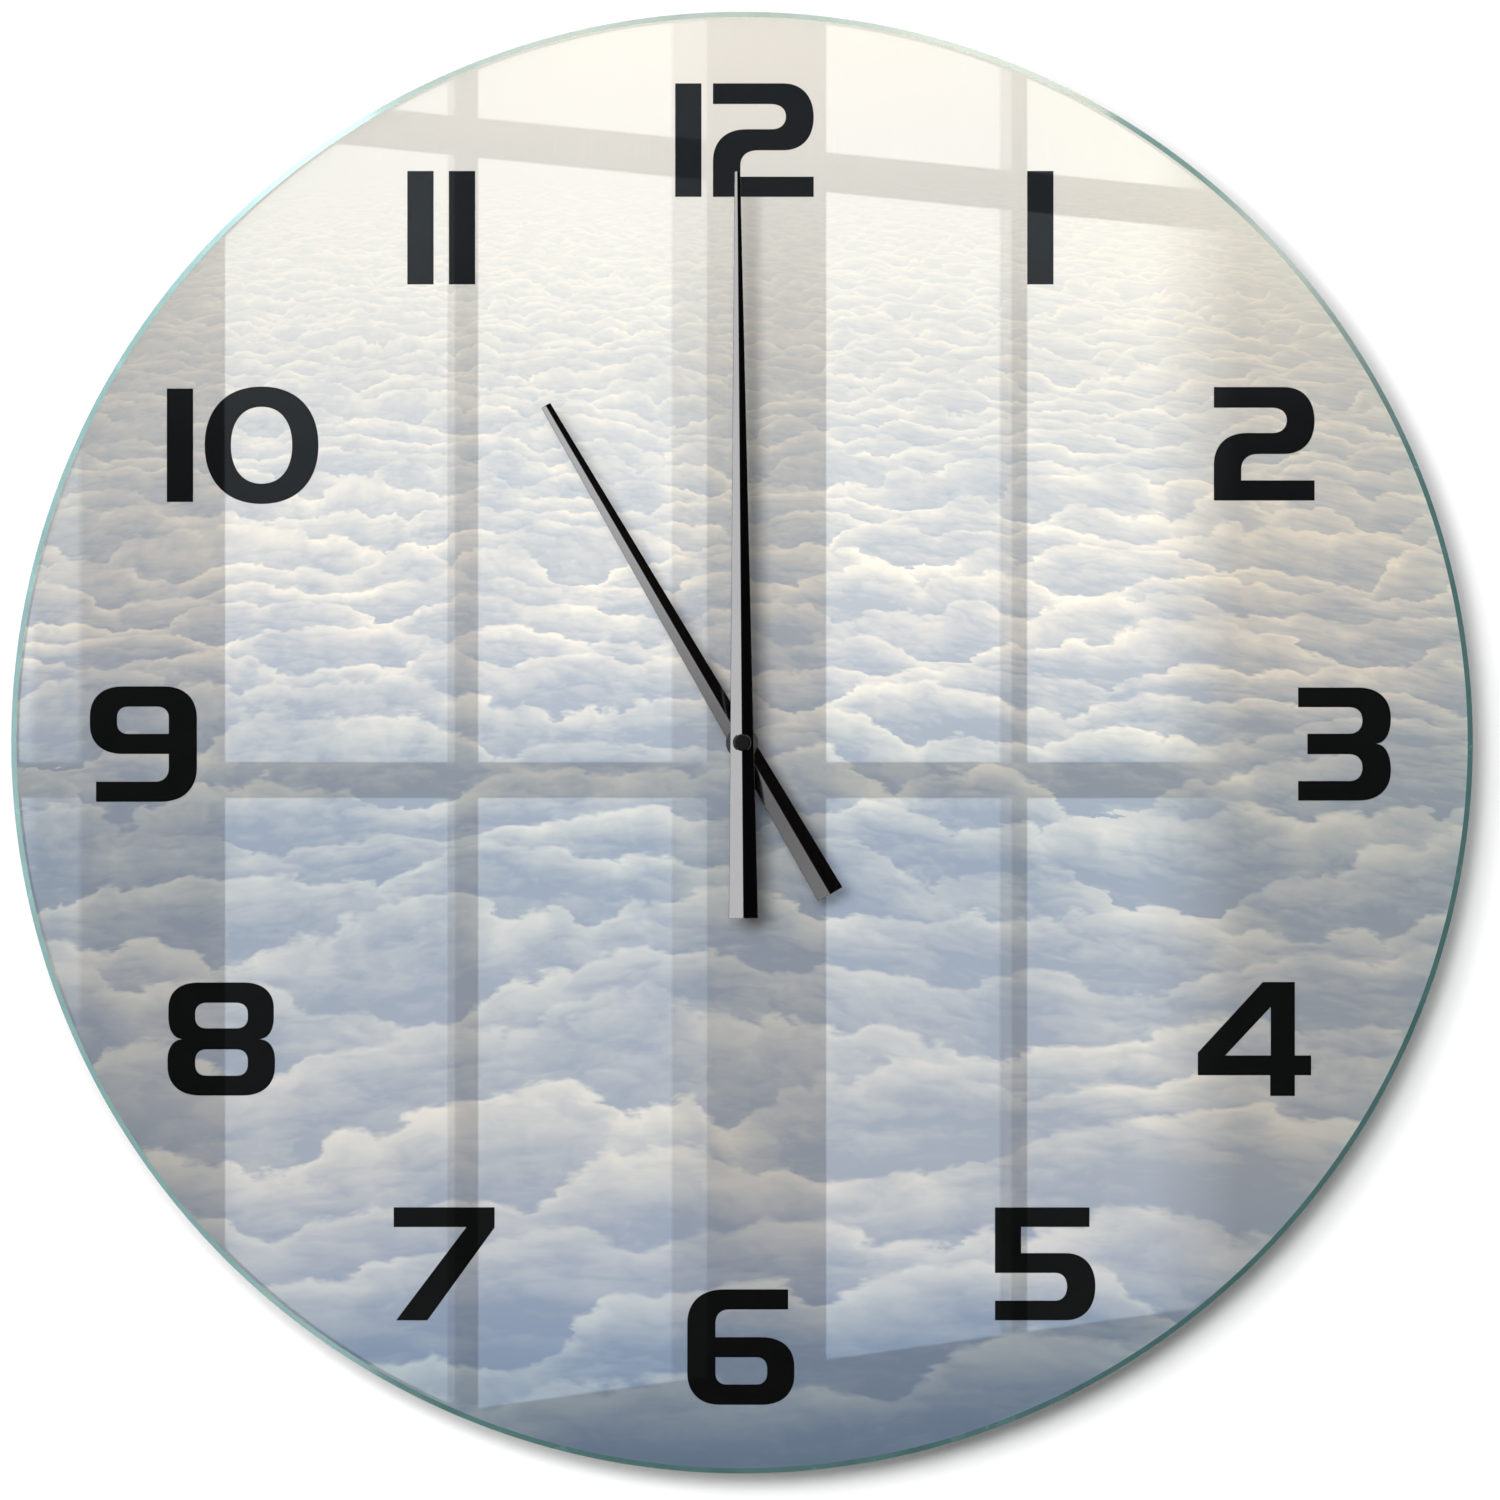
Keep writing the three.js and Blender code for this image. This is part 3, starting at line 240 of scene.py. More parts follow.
def printed_clouds():
    """Matt solvent ink on vinyl film, seen through the glass: soft cream crests over grey-lilac
    hollows, paler and warmer towards the top."""
    material, add = new_material("printed_vinyl_clouds")
    xyz = own_xyz(add)
    top = dial_high.z / MM
    down = add("MULTIPLY_ADD", xyz[2], -1 / MM, top - HORIZON_DROP)
    near = add("ADD", add("MAXIMUM", down, 0.0), NEAREST_MM)
    side = add("MULTIPLY_ADD", xyz[0], 1 / MM, VANISHING)
    row = add("POWER", near, 1 - POWER)
    row = add("MULTIPLY", row, 1 / (1 - POWER) / GROWTH)
    width = add("POWER", near, POWER)
    width = add("MULTIPLY", width, GROWTH * PUFF_RATIO)
    across = add("DIVIDE", side, width)
    place = add("CombineXYZ", across, row)
    bend = add("TexNoise", {"Vector": place, "Scale": 0.22, "Detail": 1.0}, noise_dimensions="2D")
    fray = add("TexNoise", {"Vector": place, "Scale": 2.6, "Detail": 6.0, "Roughness": 0.6},
               noise_dimensions="2D", out="Color")
    fray = add("SeparateXYZ", fray, out=None)
    for source, reach in ((bend, 2.4), (fray[0], BILLOW)):
        push = add("MULTIPLY_ADD", source, reach, -reach / 2)
        row = add("ADD", row, push)
    push = add("MULTIPLY_ADD", fray[1], 0.6 * BILLOW, -0.3 * BILLOW)
    side = add("MULTIPLY_ADD", push, width, side)
    across = add("ADD", across, push)

    # The nearest bank that reaches this place hides those behind it; its crest catches the sun
    bank = cloud_bank()
    own_row = add("FLOOR", row)
    glow = None
    for nearer in range(3):
        its_row = add("ADD", own_row, float(nearer))
        crest = add("Group", its_row, side, node_tree=bank)
        below = add("SUBTRACT", row, crest)
        fade = add("MULTIPLY", add("MAXIMUM", below, 0.0), -CREST_FADE)
        bright = add("POWER", math.e, fade)
        if glow is None:
            glow = bright
            continue
        covers = add("MapRange", below, -0.04, 0.1, interpolation_type="SMOOTHSTEP")
        glow = add("Mix", {0: covers, 2: glow, 3: bright})

    # Billows are lit from the upper right
    puffs = cloud_puffs()
    heights = []
    for shift_x, shift_y in ((0.0, 0.0), (-0.05, 0.1)):
        spot = add("CombineXYZ", add("ADD", across, shift_x),
                   add("MULTIPLY_ADD", row, 0.9, shift_y))
        heights.append(add("Group", spot, node_tree=puffs))
    here, ahead = heights
    patch = add("TexNoise", {"Vector": place, "Scale": 0.55, "Detail": 2.0}, noise_dimensions="2D")
    sunlit = add("MapRange", patch, 0.35, 0.62, 0.45, 1.05)
    slope = add("MULTIPLY", add("SUBTRACT", ahead, here), 0.7)
    lit = add("MULTIPLY_ADD", glow, sunlit, slope)
    for source, factor, lift in ((here, 0.35, -0.27), (fray[0], 0.5, -0.25)):
        lit = add("ADD", lit, add("MULTIPLY_ADD", source, factor, lift))

    share = add("MULTIPLY_ADD", xyz[2], -1 / (DIAL_D * MM), top / DIAL_D)
    tint = add("ValToRGB", share, stops=DOWN_TINTS)
    share = add("MULTIPLY_ADD", xyz[0], 1 / (ACROSS_W * MM), 0.5)
    across_tint = add("ValToRGB", share, stops=ACROSS_TINTS)
    times = {"data_type": "RGBA", "blend_type": "MULTIPLY"}
    tint = add("Mix", {0: 1.0, 6: tint, 7: across_tint}, **times, out=2)
    dark, light = (add("Mix", {0: 1.0, 6: tint, 7: factor}, **times, out=2)
                   for factor in (HOLLOW, CREST))
    haze = add("MapRange", down, -8.0, 110.0)
    contrast = add("SUBTRACT", lit, TONE)
    strength = add("MULTIPLY_ADD", contrast, haze, TONE, use_clamp=True)
    colour = add("Mix", {0: strength, 6: dark, 7: light}, data_type="RGBA", out=2)
    add("OutputMaterial", add("BsdfPrincipled", {
        "Base Color": colour, "Roughness": 0.6, "Specular IOR Level": 0.2}))
    return material


COIL_SCALE = 200.0        # of a wave that repeats every pi / 10 / scale metres, here 1.57 mm


def copper_coil():
    """Enamelled copper wire wound side by side, drawn 1.6 mm apart because the real 0.04 mm wire is
    too fine to show. The colour is painted shade, dark in the gaps between turns, and painted
    highlight, lighter along each turn's crest, over a bump of the same wave."""
    material, add = new_material("enamelled_copper_winding")
    turns = add("TexWave", {
        "Vector": add("TexCoord", out="Object"), "Scale": COIL_SCALE, "Distortion": 0.4,
        "Detail": 1.0}, out="Fac")
    # the colour ramp paints shade into the gaps between turns and a highlight along each turn's
    # crest
    add("OutputMaterial", add("BsdfPrincipled", {
        "Base Color": add("ValToRGB", turns, stops=[(0.0, "#6d2f14"), (1.0, "#c97a48")]),
        "Normal": add("Bump", {"Height": turns, "Distance": 0.05 * MM, "Strength": 0.6}),
        "Metallic": 0.9, "Roughness": 0.3}))
    return material


def cell_jacket(x_from, x_to):
    """Printed steel jacket of a cell: slate lacquer with one pale band at the positive end."""
    material, add = new_material("lacquered_cell_jacket")
    place = add("TexCoord", out="Object")
    along = add("MapRange", add("SeparateXYZ", place), x_from * MM, x_to * MM)
    colour = add("ValToRGB", along, stops=[
        (0.0, "#39424c"), (0.738, "#39424c"), (0.742, "#c9ccc9"), (0.762, "#c9ccc9"),
        (0.766, "#8f9aa3"), (1.0, "#8f9aa3")])
    scuff = add("TexNoise", {"Vector": place, "Scale": 1 / (1.5 * MM), "Detail": 5.0,
                             "Roughness": 0.7})
    add("OutputMaterial", add("BsdfPrincipled", {
        "Base Color": colour, "Metallic": 0.55, "Coat Weight": 0.4, "Coat Roughness": 0.12,
        "Roughness": add("MapRange", scuff, 0.0, 1.0, 0.22, 0.42)}))
    return material


GLASS = float_glass()
EDGE = polished_edge()
CLOUDS = printed_clouds()
# Black ink, dense and matt, with the faint unevenness of a solid print
INK = surface("black_printing_ink", "#0e0e0d", "#090908", 0.4, 0.55, specular=0.0)
# White vinyl film from behind: even, slightly glossy, a trace of orange peel
VINYL = surface("white_vinyl_film", "#eceded", "#e3e4e5", 1.2, 0.42, bump=0.02)
# Closed-cell polyethylene foam: matt, fine open cells on the cut edge
FOAM = surface("closed_cell_foam_tape", "#e6e6e1", "#cfcfc9", 0.35, 0.9, bump=0.12, cells=True)
# Moulded EPDM: dull near-black with a dusty bloom
RUBBER = surface("moulded_epdm_rubber", "#323235", "#222224", 0.5, 0.78, bump=0.04, blotch=5.0)
# Aluminium sheet in satin black lacquer: dark, with a soft sheen from the coat
HAND_BLACK = surface("black_lacquered_aluminium", "#1f1f21", "#19191b", 0.35, 0.22, metallic=0.95,
                     bump=0.003, blotch=14.0, spread=0.04, coat=1.0, coat_roughness=0.14)
# Moulded ABS, black with a soft shine
CAP_BLACK = surface("satin_black_abs", "#0b0b0c", "#070707", 0.6, 0.14, blotch=3.0, spread=0.03,
                    specular=0.12)
# Black ABS from a spark-eroded mould: fine matt grain
CASE_BLACK = surface("spark_grained_black_abs", "#222224", "#19191b", 0.3, 0.56, bump=0.03)
# Plain moulded ABS inside and on the knob: even, with the faint grain of a milled mould
DARK_ABS = surface("moulded_dark_abs", "#35363b", "#2a2b2f", 0.6, 0.5, bump=0.02)
GREY_ABS = surface("moulded_grey_abs", "#d4d4d0", "#c6c6c2", 0.5, 0.45, bump=0.02)
# Acetal: waxy, slightly translucent white, a moulded sheen
WHITE_ACETAL = surface("natural_white_acetal", "#ece9de", "#dfdbcd", 0.6, 0.38, bump=0.012)
CREAM_ACETAL = surface("cream_acetal", "#dcd7c6", "#cdc7b4", 0.6, 0.4, bump=0.012)
# Moulded PBT: harder and duller than acetal
WHITE_PBT = surface("moulded_white_pbt", "#f0eee6", "#e2dfd5", 0.5, 0.5, bump=0.02)
# Sintered ferrite: dark, grainy, half metallic
FERRITE = surface("sintered_ferrite", "#47494c", "#2f3133", 0.2, 0.48, metallic=0.6, bump=0.03)
# Turned brass: warm and bright, fine tool marks round the axis
BRASS = surface("turned_brass", "#cfae63", "#b4914a", 0.18, 0.28, metallic=1.0, bump=0.01,
                stretch=(1, 6, 1))
# Bright zinc plate over rolled steel: pale grey, cloudy passivation, rolling lines
ZINC = surface("zinc_plated_steel", "#cfd2d4", "#a9adb1", 0.22, 0.32, metallic=1.0, bump=0.008,
               stretch=(1, 1, 9), blotch=4.0)
# Stamped soft iron: mid grey, annealed dull, rolling lines across
IRON = surface("stamped_soft_iron", "#a2a5a8", "#83878b", 0.2, 0.4, metallic=1.0, bump=0.01,
               stretch=(9, 1, 1), blotch=5.0)
# Nickel plate: smooth, warm and bright
NICKEL = surface("nickel_plated_steel", "#d0ccc2", "#b2aea5", 0.3, 0.24, metallic=1.0)
# Green solder resist over copper: glossy, laminate weave of 0.5 mm just showing
BOARD = surface("green_solder_resist", "#2d6a3a", "#1d4f2a", 0.5, 0.32, bump=0.02, cells=True)
# Epoxy drop over the chip: near black, glossy, a little lumpy
EPOXY = surface("black_epoxy_drop", "#17171a", "#0c0c0e", 0.8, 0.26, bump=0.03, blotch=2.0)
COPPER = copper_coil()

for finish, names in {
    VINYL: ["printed_film"],
    WHITE_ACETAL: ["seconds_wheel", "third_wheel", "fifth_wheel", "rotor_pinion"],
    CREAM_ACETAL: ["centre_wheel", "motion_wheel", "hour_wheel"],
    FERRITE: ["rotor_magnet"],
    BRASS: ["cannon_pinion"],
    DARK_ABS: ["middle_plate"],
    IRON: ["stator", "coil_core"],
    WHITE_PBT: ["coil_bobbin"],
    COPPER: ["coil_winding"],
    BOARD: ["circuit_board"],
    NICKEL: ["quartz_crystal", "contact_negative", "contact_positive"],
    EPOXY: ["chip_cover"],
}.items():
    for name in names:
        for material_slot in nodes[name].material_slots:
            material_slot.material = finish


# ---------------------------------------------------------------- shapes

def scratch(name, data):
    made = bpy.data.objects.new(name, data)
    scene.collection.objects.link(made)
    return made


def piece(name, mesh, materials, body, replaces=(), crease=35.0, room=TO_ROOM):
    """A finished piece: its mesh in place, its finish, its body and what it stands for."""
    mesh.transform(room)
    if not mesh.materials:
        for material in materials:
            mesh.materials.append(material)
    mesh.shade_smooth()
    mesh.set_sharp_from_angle(angle=math.radians(crease))
    mesh.name = name
    made = scratch(name, mesh)
    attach(made, body)
    if replaces:
        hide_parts(*replaces)
    return made


def plain_mesh(work):
    mesh = bpy.data.meshes.new("work")
    work.to_mesh(mesh)
    work.free()
    return mesh


def to_mesh(work):
    """Welds what touches, turns the faces outwards and hands over the mesh."""
    bmesh.ops.remove_doubles(work, verts=work.verts, dist=1e-5)
    bmesh.ops.recalc_face_normals(work, faces=work.faces)
    return plain_mesh(work)


def evaluated(source):
    """The plain mesh of an object with its modifiers or curve settings; the object goes."""
    bpy.context.view_layer.update()
    shown = source.evaluated_get(bpy.context.evaluated_depsgraph_get())
    mesh = bpy.data.meshes.new_from_object(shown)
    bpy.data.objects.remove(source)
    return mesh


def moved(mesh, x, y, z=0.0):
    """The same mesh, moved."""
    mesh.transform(Matrix.Translation((x, y, z)))
    return mesh


def middle(node_name):
    """The middle of a CAD node, seen from the front."""
    x0, x1, y0, y1, _, _ = span(node_name)
    return (x0 + x1) / 2, (y0 + y1) / 2


def circle(radius, sides=96):
    return [(radius * math.cos(2 * math.pi * k / sides), radius * math.sin(2 * math.pi * k / sides))
            for k in range(sides)]


def turned(profile, sides, work=None, slots=None):
    """A closed profile of (radius, level) turned about the z axis."""
    work = work or bmesh.new()
    rings = []
    for radius, level in profile:
        ring = circle(radius, sides=sides)[:sides if radius > 0 else 1]
        rings.append([work.verts.new((x, y, level)) for x, y in ring])
    pairs = list(zip(rings, rings[1:] + rings[:1]))
    if profile[0][0] == 0 and profile[-1][0] == 0:
        pairs.pop()
    for number, (low, high) in enumerate(pairs):
        for k in range(sides):
            after = k + 1
            corners = list(dict.fromkeys((low[k % len(low)], low[after % len(low)],
                                          high[after % len(high)], high[k % len(high)])))
            if len(corners) > 2:
                face = work.faces.new(corners)
                face.material_index = slots[number] if slots else 0
    return work


def outline_mesh(contours, low, high, edge=0.0):
    """A flat outline, with its holes, raised from low to high; edge rounds its rims."""
    curve = bpy.data.curves.new("outline", "CURVE")
    curve.dimensions = "2D"
    curve.fill_mode = "BOTH"
    curve.extrude = (high - low) / 2 - edge
    curve.bevel_depth = edge
    curve.offset = -edge
    curve.bevel_resolution = 2
    for contour in contours:
        line = curve.splines.new("POLY")
        line.points.add(len(contour) - 1)
        for point, (x, y) in zip(line.points, contour):
            point.co = (x, y, 0, 1)
        line.use_cyclic_u = True
    work = bmesh.new()
    work.from_mesh(evaluated(scratch("outline", curve)))
    bmesh.ops.translate(work, vec=(0, 0, (low + high) / 2), verts=work.verts)
    return to_mesh(work)


def round_rect(x0, x1, y0, y1, radius, steps=8):
    points = []
    for corner, (x, y) in enumerate([(x1 - radius, y0 + radius), (x1 - radius, y1 - radius),
                                     (x0 + radius, y1 - radius), (x0 + radius, y0 + radius)]):
        for step in range(steps + 1):
            angle = math.radians(90 * (corner - 1 + step / steps))
            points.append((x + radius * math.cos(angle), y + radius * math.sin(angle)))
    return points


# ---------------------------------------------------------------- dial

DIAL_SIDES = 384
ARRIS = 1.1               # the polished edge band seen from the front
HOLE_R = 3.1

_, DIAL_R, _, _, GLASS_BACK, GLASS_FRONT = span("glass_dial")
FLAT_R = DIAL_R - ARRIS

# Behind, the flat reaches a little further out, so that no edge shows between picture and band
work = turned([(HOLE_R, GLASS_BACK), (FLAT_R + 0.3, GLASS_BACK), (DIAL_R, GLASS_BACK + ARRIS / 2),
               (DIAL_R, GLASS_FRONT - ARRIS / 2), (FLAT_R, GLASS_FRONT), (HOLE_R, GLASS_FRONT)],
              DIAL_SIDES, slots=[0, 1, 1, 1, 0, 0])
disc = piece("glass_disc", to_mesh(work), [GLASS, EDGE], "clock_body",
             ["glass_dial"], crease=20)
disc.visible_shadow = False    # light reaches the picture through the polished edge too

_, FILM_R, _, _, _, FILM_FRONT = span("printed_film")
PRINT_LEVEL = FILM_FRONT + 0.02
INK_T = 0.03
PRINT_R = FLAT_R + 0.45   # the picture bleeds just past the edge of the clear glass face
work = turned([(HOLE_R, PRINT_LEVEL), (PRINT_R, PRINT_LEVEL), (PRINT_R, PRINT_LEVEL + INK_T),
               (HOLE_R, PRINT_LEVEL + INK_T)], DIAL_SIDES, slots=[1, 1, 0, 1])
piece("cloud_print", to_mesh(work), [CLOUDS, VINYL], "clock_body")

# Numerals in a wide technical face, in millimetres from the figure's centre. A pair is a straight
# leg's end; h is a round corner that leaves level and arrives upright, v the other way round.
FIGURES = {
    "0": [[(0, 12.07), ("h", 11.7, 0), ("v", 0, -12.07), ("h", -11.7, 0), ("v", 0, 12.07)],
          [(0, 7.9), ("h", 6.3, 0), ("v", 0, -7.9), ("h", -6.3, 0), ("v", 0, 7.9)]],
    "1": [[(-2.7, 11.65), (2.7, 11.65), (2.7, -11.65), (-2.7, -11.65)]],
    "2": [[(-10.35, 11.66), (4.06, 11.66), ("h", 10.35, 4.72), ("v", 4.06, -2.1), (-1.18, -2.1),
           ("h", -4.72, -5.24), (-4.72, -7.52), (10.35, -7.52), (10.35, -11.66),
           (-10.35, -11.66), (-10.35, -4.32), ("v", -3.54, 2.23), (1.7, 2.23), ("h", 4.64, 4.9),
           ("v", 1.44, 7.41), (-10.35, 7.41)]],
    "3": [[(-9.53, 11.62), (2.89, 11.62), ("h", 9.53, 5.37), ("v", 6.33, 0.07),
           ("h", 9.53, -5.43), ("v", 2.89, -11.62), (-9.53, -11.62), (-9.53, -7.59),
           (0.92, -7.59), ("h", 3.67, -4.84), ("v", 0.92, -2.09), (-7.62, -2.09), (-7.62, 2.13),
           (0.92, 2.13), ("h", 3.67, 4.88), ("v", 0.92, 7.58), (-9.53, 7.58)]],
    "4": [[(1.7, 11.71), (8.3, 11.71), (8.3, -3.38), (11.65, -3.38), (11.65, -7.45),
           (8.3, -7.45), (8.3, -11.71), (3.23, -11.71), (3.23, -7.45), (-11.65, -7.45),
           (-11.65, -2.8)],
          [(3.33, 6.59), (3.33, -3.38), (-5.99, -3.38)]],
    "5": [[(-10.32, 11.6), (9.1, 11.6), (9.1, 7.58), (-4.95, 7.58), (-4.95, 2.21), (4.19, 2.21),
           ("h", 10.32, -4.57), ("v", 4.19, -11.6), (-10.32, -11.6), (-10.32, -7.56),
           (2.02, -7.56), ("h", 4.48, -4.67), ("v", 2.02, -1.86), (-10.32, -1.86)]],
    "6": [[(9.73, 11.86), (-3.54, 11.86), ("h", -11, 4.88), (-11, -5.33), ("v", -4.32, -11.86),
           (4.32, -11.86), ("h", 11, -5.73), (11, -3.96), ("v", 4.32, 2.03), (-5.21, 2.03),
           (-5.21, 4.88), ("v", -2.36, 7.73), (9.73, 7.73)],
          [(-5.21, -2.09), (3.14, -2.09), ("h", 5.4, -4.35), (5.4, -5.43), ("v", 3.14, -7.69),
           (-2.75, -7.69), ("h", -5.21, -5.43)]],
    "7": [[(-10.37, 11.62), (10.37, 11.62), (10.37, 7.46), (-3.45, -11.62), (-9.89, -11.62),
           (4.57, 7.56), (-10.37, 7.56)]],
    "8": [[(-4.77, 11.62), (4.67, 11.62), ("h", 10.8, 6.42), (10.8, 4.45), ("v", 7.71, -0.03),
           ("h", 11.05, -4.39), (11.05, -5.57), ("v", 4.47, -11.62), (-4.47, -11.62),
           ("h", -11.05, -5.57), (-11.05, -4.39), ("v", -7.81, -0.03), ("h", -10.86, 4.45),
           (-10.86, 6.42), ("v", -4.77, 11.62)],
          [(-3, 7.44), (3.09, 7.44), ("h", 5.45, 5.24), (5.45, 4.39), ("v", 3.09, 2.19),
           (-3, 2.19), ("h", -5.35, 4.39), (-5.35, 5.24), ("v", -3, 7.44)],
          [(-3, -2.13), (3.09, -2.13), ("h", 5.45, -4.39), (5.45, -5.28), ("v", 3.09, -7.54),
           (-3, -7.54), ("h", -5.35, -5.28), (-5.35, -4.39), ("v", -3, -2.13)]],
}
# A nine is the six turned half round
FIGURES["9"] = [[(*way, -x, -y) for *way, x, y in contour] for contour in FIGURES["6"]]
# The centre of each hour's numeral, and the gap between its two figures
HOURS = {1: (61.3, 105.8), 2: (107.3, 61.4), 3: (123.8, -0.3), 4: (105.3, -60.9),
         5: (62.3, -107.1), 6: (-0.25, -124.2), 7: (-61.2, -107.1), 8: (-107.0, -60.9),
         9: (-123.0, -0.3), 10: (-102.6, 61.1), 11: (-61.8, 105.8), 12: (0.5, 123.8)}
PAIR_GAP = {10: 2.36, 11: 3.14, 12: 2.36}
CORNER_REACH = 0.62       # handle length of a round corner, as a share of its leg
CORNER_STEPS = 14


def contour_points(contour):
    points = []
    for *way, x, y in contour:
        if not way:
            points.append((x, y))
            continue
        x0, y0 = points[-1]
        dx, dy = CORNER_REACH * (x - x0), CORNER_REACH * (y - y0)
        first, second = (((x0 + dx, y0), (x, y - dy)) if way == ["h"] else
                         ((x0, y0 + dy), (x - dx, y)))
        for step in range(1, CORNER_STEPS + 1):
            t = step / CORNER_STEPS
            points.append(tuple(
                (1 - t) ** 3 * a + 3 * t * (1 - t) ** 2 * b + 3 * t * t * (1 - t) * c + t ** 3 * d
                for a, b, c, d in zip((x0, y0), first, second, (x, y))))
    if math.dist(points[0], points[-1]) < 1e-6:
        points.pop()
    return points


def numeral(hour, level, thickness):
    figures = [[contour_points(contour) for contour in FIGURES[figure]] for figure in str(hour)]
    ends = [[end(x for contour in figure for x, _ in contour) for end in (min, max)]
            for figure in figures]
    gap = PAIR_GAP.get(hour, 0.0)
    centre_x, centre_y = HOURS[hour]
    left = centre_x - (sum(high - low for low, high in ends) + gap * (len(figures) - 1)) / 2
    contours = []
    for figure, (low, high) in zip(figures, ends):
        contours += [[(x + left - low, y + centre_y) for x, y in contour] for contour in figure]
        left += high - low + gap
    return outline_mesh(contours, level, level + thickness)


for hour in HOURS:
    piece(f"numeral_{hour}", numeral(hour, PRINT_LEVEL + INK_T + 0.01, INK_T), [INK],
          "clock_body")


# ---------------------------------------------------------------- hands

SHEET = 0.4
FOLD = math.tan(math.radians(22))
TAIL = 36.0
EDGE_BREAK = 0.07         # broken edges of the sheet
FOLD_R = 0.10             # the fold isn't quite sharp


def folded_hand(reach, tip_width, tail_width, turn, level, boss):
    """A blade tapering from tail to tip, folded along its middle, with a turned boss."""
    work = bmesh.new()
    length = reach + TAIL
    stations = [(-TAIL + EDGE_BREAK + (length - 2 * EDGE_BREAK) * k / 12, 0.0) for k in range(13)]
    stations = [(-TAIL, EDGE_BREAK)] + stations + [(reach, EDGE_BREAK)]
    rings = []
    for y, shrink in stations:
        half = (tail_width + (tip_width - tail_width) * (y + TAIL) / length) / 2 - shrink
        rise = FOLD * half
        soft = [-1, -1 + EDGE_BREAK / half, -0.6, -0.3, -FOLD_R / half, -FOLD_R / 2 / half, 0]
        soft += [-share for share in soft[-2::-1]]
        over = [(share * half, SHEET + rise - FOLD * (math.hypot(share * half, FOLD_R) - FOLD_R)
                 - (EDGE_BREAK if abs(share) == 1 else 0) - shrink) for share in soft]
        under = [(share * half, rise * (1 - abs(share)) + shrink)
                 for share in (1, 0.5, 0, -0.5, -1)]
        rings.append([work.verts.new((x, y, z)) for x, z in over + under])
    for low, high in zip(rings, rings[1:]):
        for k in range(len(low)):
            after = (k + 1) % len(low)
            work.faces.new([low[k], low[after], high[after], high[k]])
    for ring in (rings[0], rings[-1]):
        work.faces.new(ring)
    turned(boss, 64, work)
    mesh = to_mesh(work)
    mesh.transform(Matrix.Rotation(math.radians(turn), 4, "Z"))
    return moved(mesh, 0, 0, level)


HAND_COLLAR = 0.4
hour_level = span("hour_hand")[4] + HAND_COLLAR
minute_level = span("minute_hand")[4] + HAND_COLLAR
PIPE_END = span("hour_wheel")[5]
# The hour boss closes over the end of its pipe; the minute boss stays below its blade
hour_boss = [(2.5, -HAND_COLLAR), (3.2, -HAND_COLLAR), (3.3, -HAND_COLLAR + 0.1), (3.3, 1.45),
             (3.1, 1.65), (1.85, 1.7), (1.85, PIPE_END - hour_level + 0.02),
             (2.5, PIPE_END - hour_level + 0.02)]
minute_boss = [(1.25, -HAND_COLLAR), (1.85, -HAND_COLLAR), (1.9, -HAND_COLLAR + 0.05), (1.9, 1.0),
               (1.25, 1.0)]
piece("hour_blade", folded_hand(80.0, 2.1, 5.8, 30.2, hour_level, hour_boss), [HAND_BLACK],
      "hour_works", ["hour_hand"], crease=14)
piece("minute_blade", folded_hand(117.0, 1.15, 5.95, 0.46, minute_level, minute_boss),
      [HAND_BLACK], "minute_works", ["minute_hand"], crease=14)

_, CAP_R, _, _, CAP_LOW, CAP_HIGH = span("centre_cap")
# Flat on top but for a slight crown, with a rounded rim
RIM_R, CROWN = 0.3, 0.06
FLAT = CAP_R - RIM_R
rim = [(FLAT + RIM_R * math.cos(math.radians(a)),
        CAP_HIGH - CROWN - RIM_R + RIM_R * math.sin(math.radians(a))) for a in range(0, 91, 10)]
crown = [(FLAT * k, CAP_HIGH - CROWN * k ** 2) for k in (0.8, 0.6, 0.4, 0.2)]
work = turned([(0, CAP_LOW + 0.9), (1.25, CAP_LOW + 0.9), (1.25, CAP_LOW), (CAP_R - 0.08, CAP_LOW),
               (CAP_R, CAP_LOW + 0.08)] + rim + crown + [(0, CAP_HIGH)], 96)
piece("cap_dome", to_mesh(work), [CAP_BLACK], "minute_works", ["centre_cap"])


# ---------------------------------------------------------------- behind the dial

def broken_edges(node_name, width):
    """A welded copy of a CAD node with its sharp edges broken, as moulded parts have them."""
    work = bmesh.new()
    work.from_mesh(nodes[node_name].data)
    bmesh.ops.remove_doubles(work, verts=work.verts, dist=2e-6)
    bmesh.ops.dissolve_limit(work, angle_limit=math.radians(0.5), verts=work.verts,
                             edges=work.edges)
    copy = scratch("work", plain_mesh(work))
    bevel = copy.modifiers.new("edges", "BEVEL")
    bevel.width = width * MM
    bevel.segments = 2
    bevel.limit_method = "ANGLE"
    bevel.angle_limit = math.radians(40)
    return evaluated(copy)


for name, source, width, finish, slot in (
        ("case_shell", "movement_case", 0.25, CASE_BLACK, "black_plastic"),
        ("rear_cover", "back_cover", 0.12, CASE_BLACK, "black_plastic"),
        ("hanger_tab", "hanger_plate", 0.15, ZINC, "zinc_steel")):
    mesh = broken_edges(source, width)
    mesh.materials.clear()
    piece(name, mesh, [finish], "clock_body", [source], crease=20, room=Matrix())

# Foam pad: cut tape that bulges a little between case and film
pad = span("foam_pad")
PAD_HOLE = 4.5
pad_shape = [round_rect(*pad[:4], 3.0), circle(PAD_HOLE)]
foam = piece("foam_square", outline_mesh(pad_shape, pad[4], pad[5], 0.22), [FOAM], "clock_body",
             ["foam_pad"])

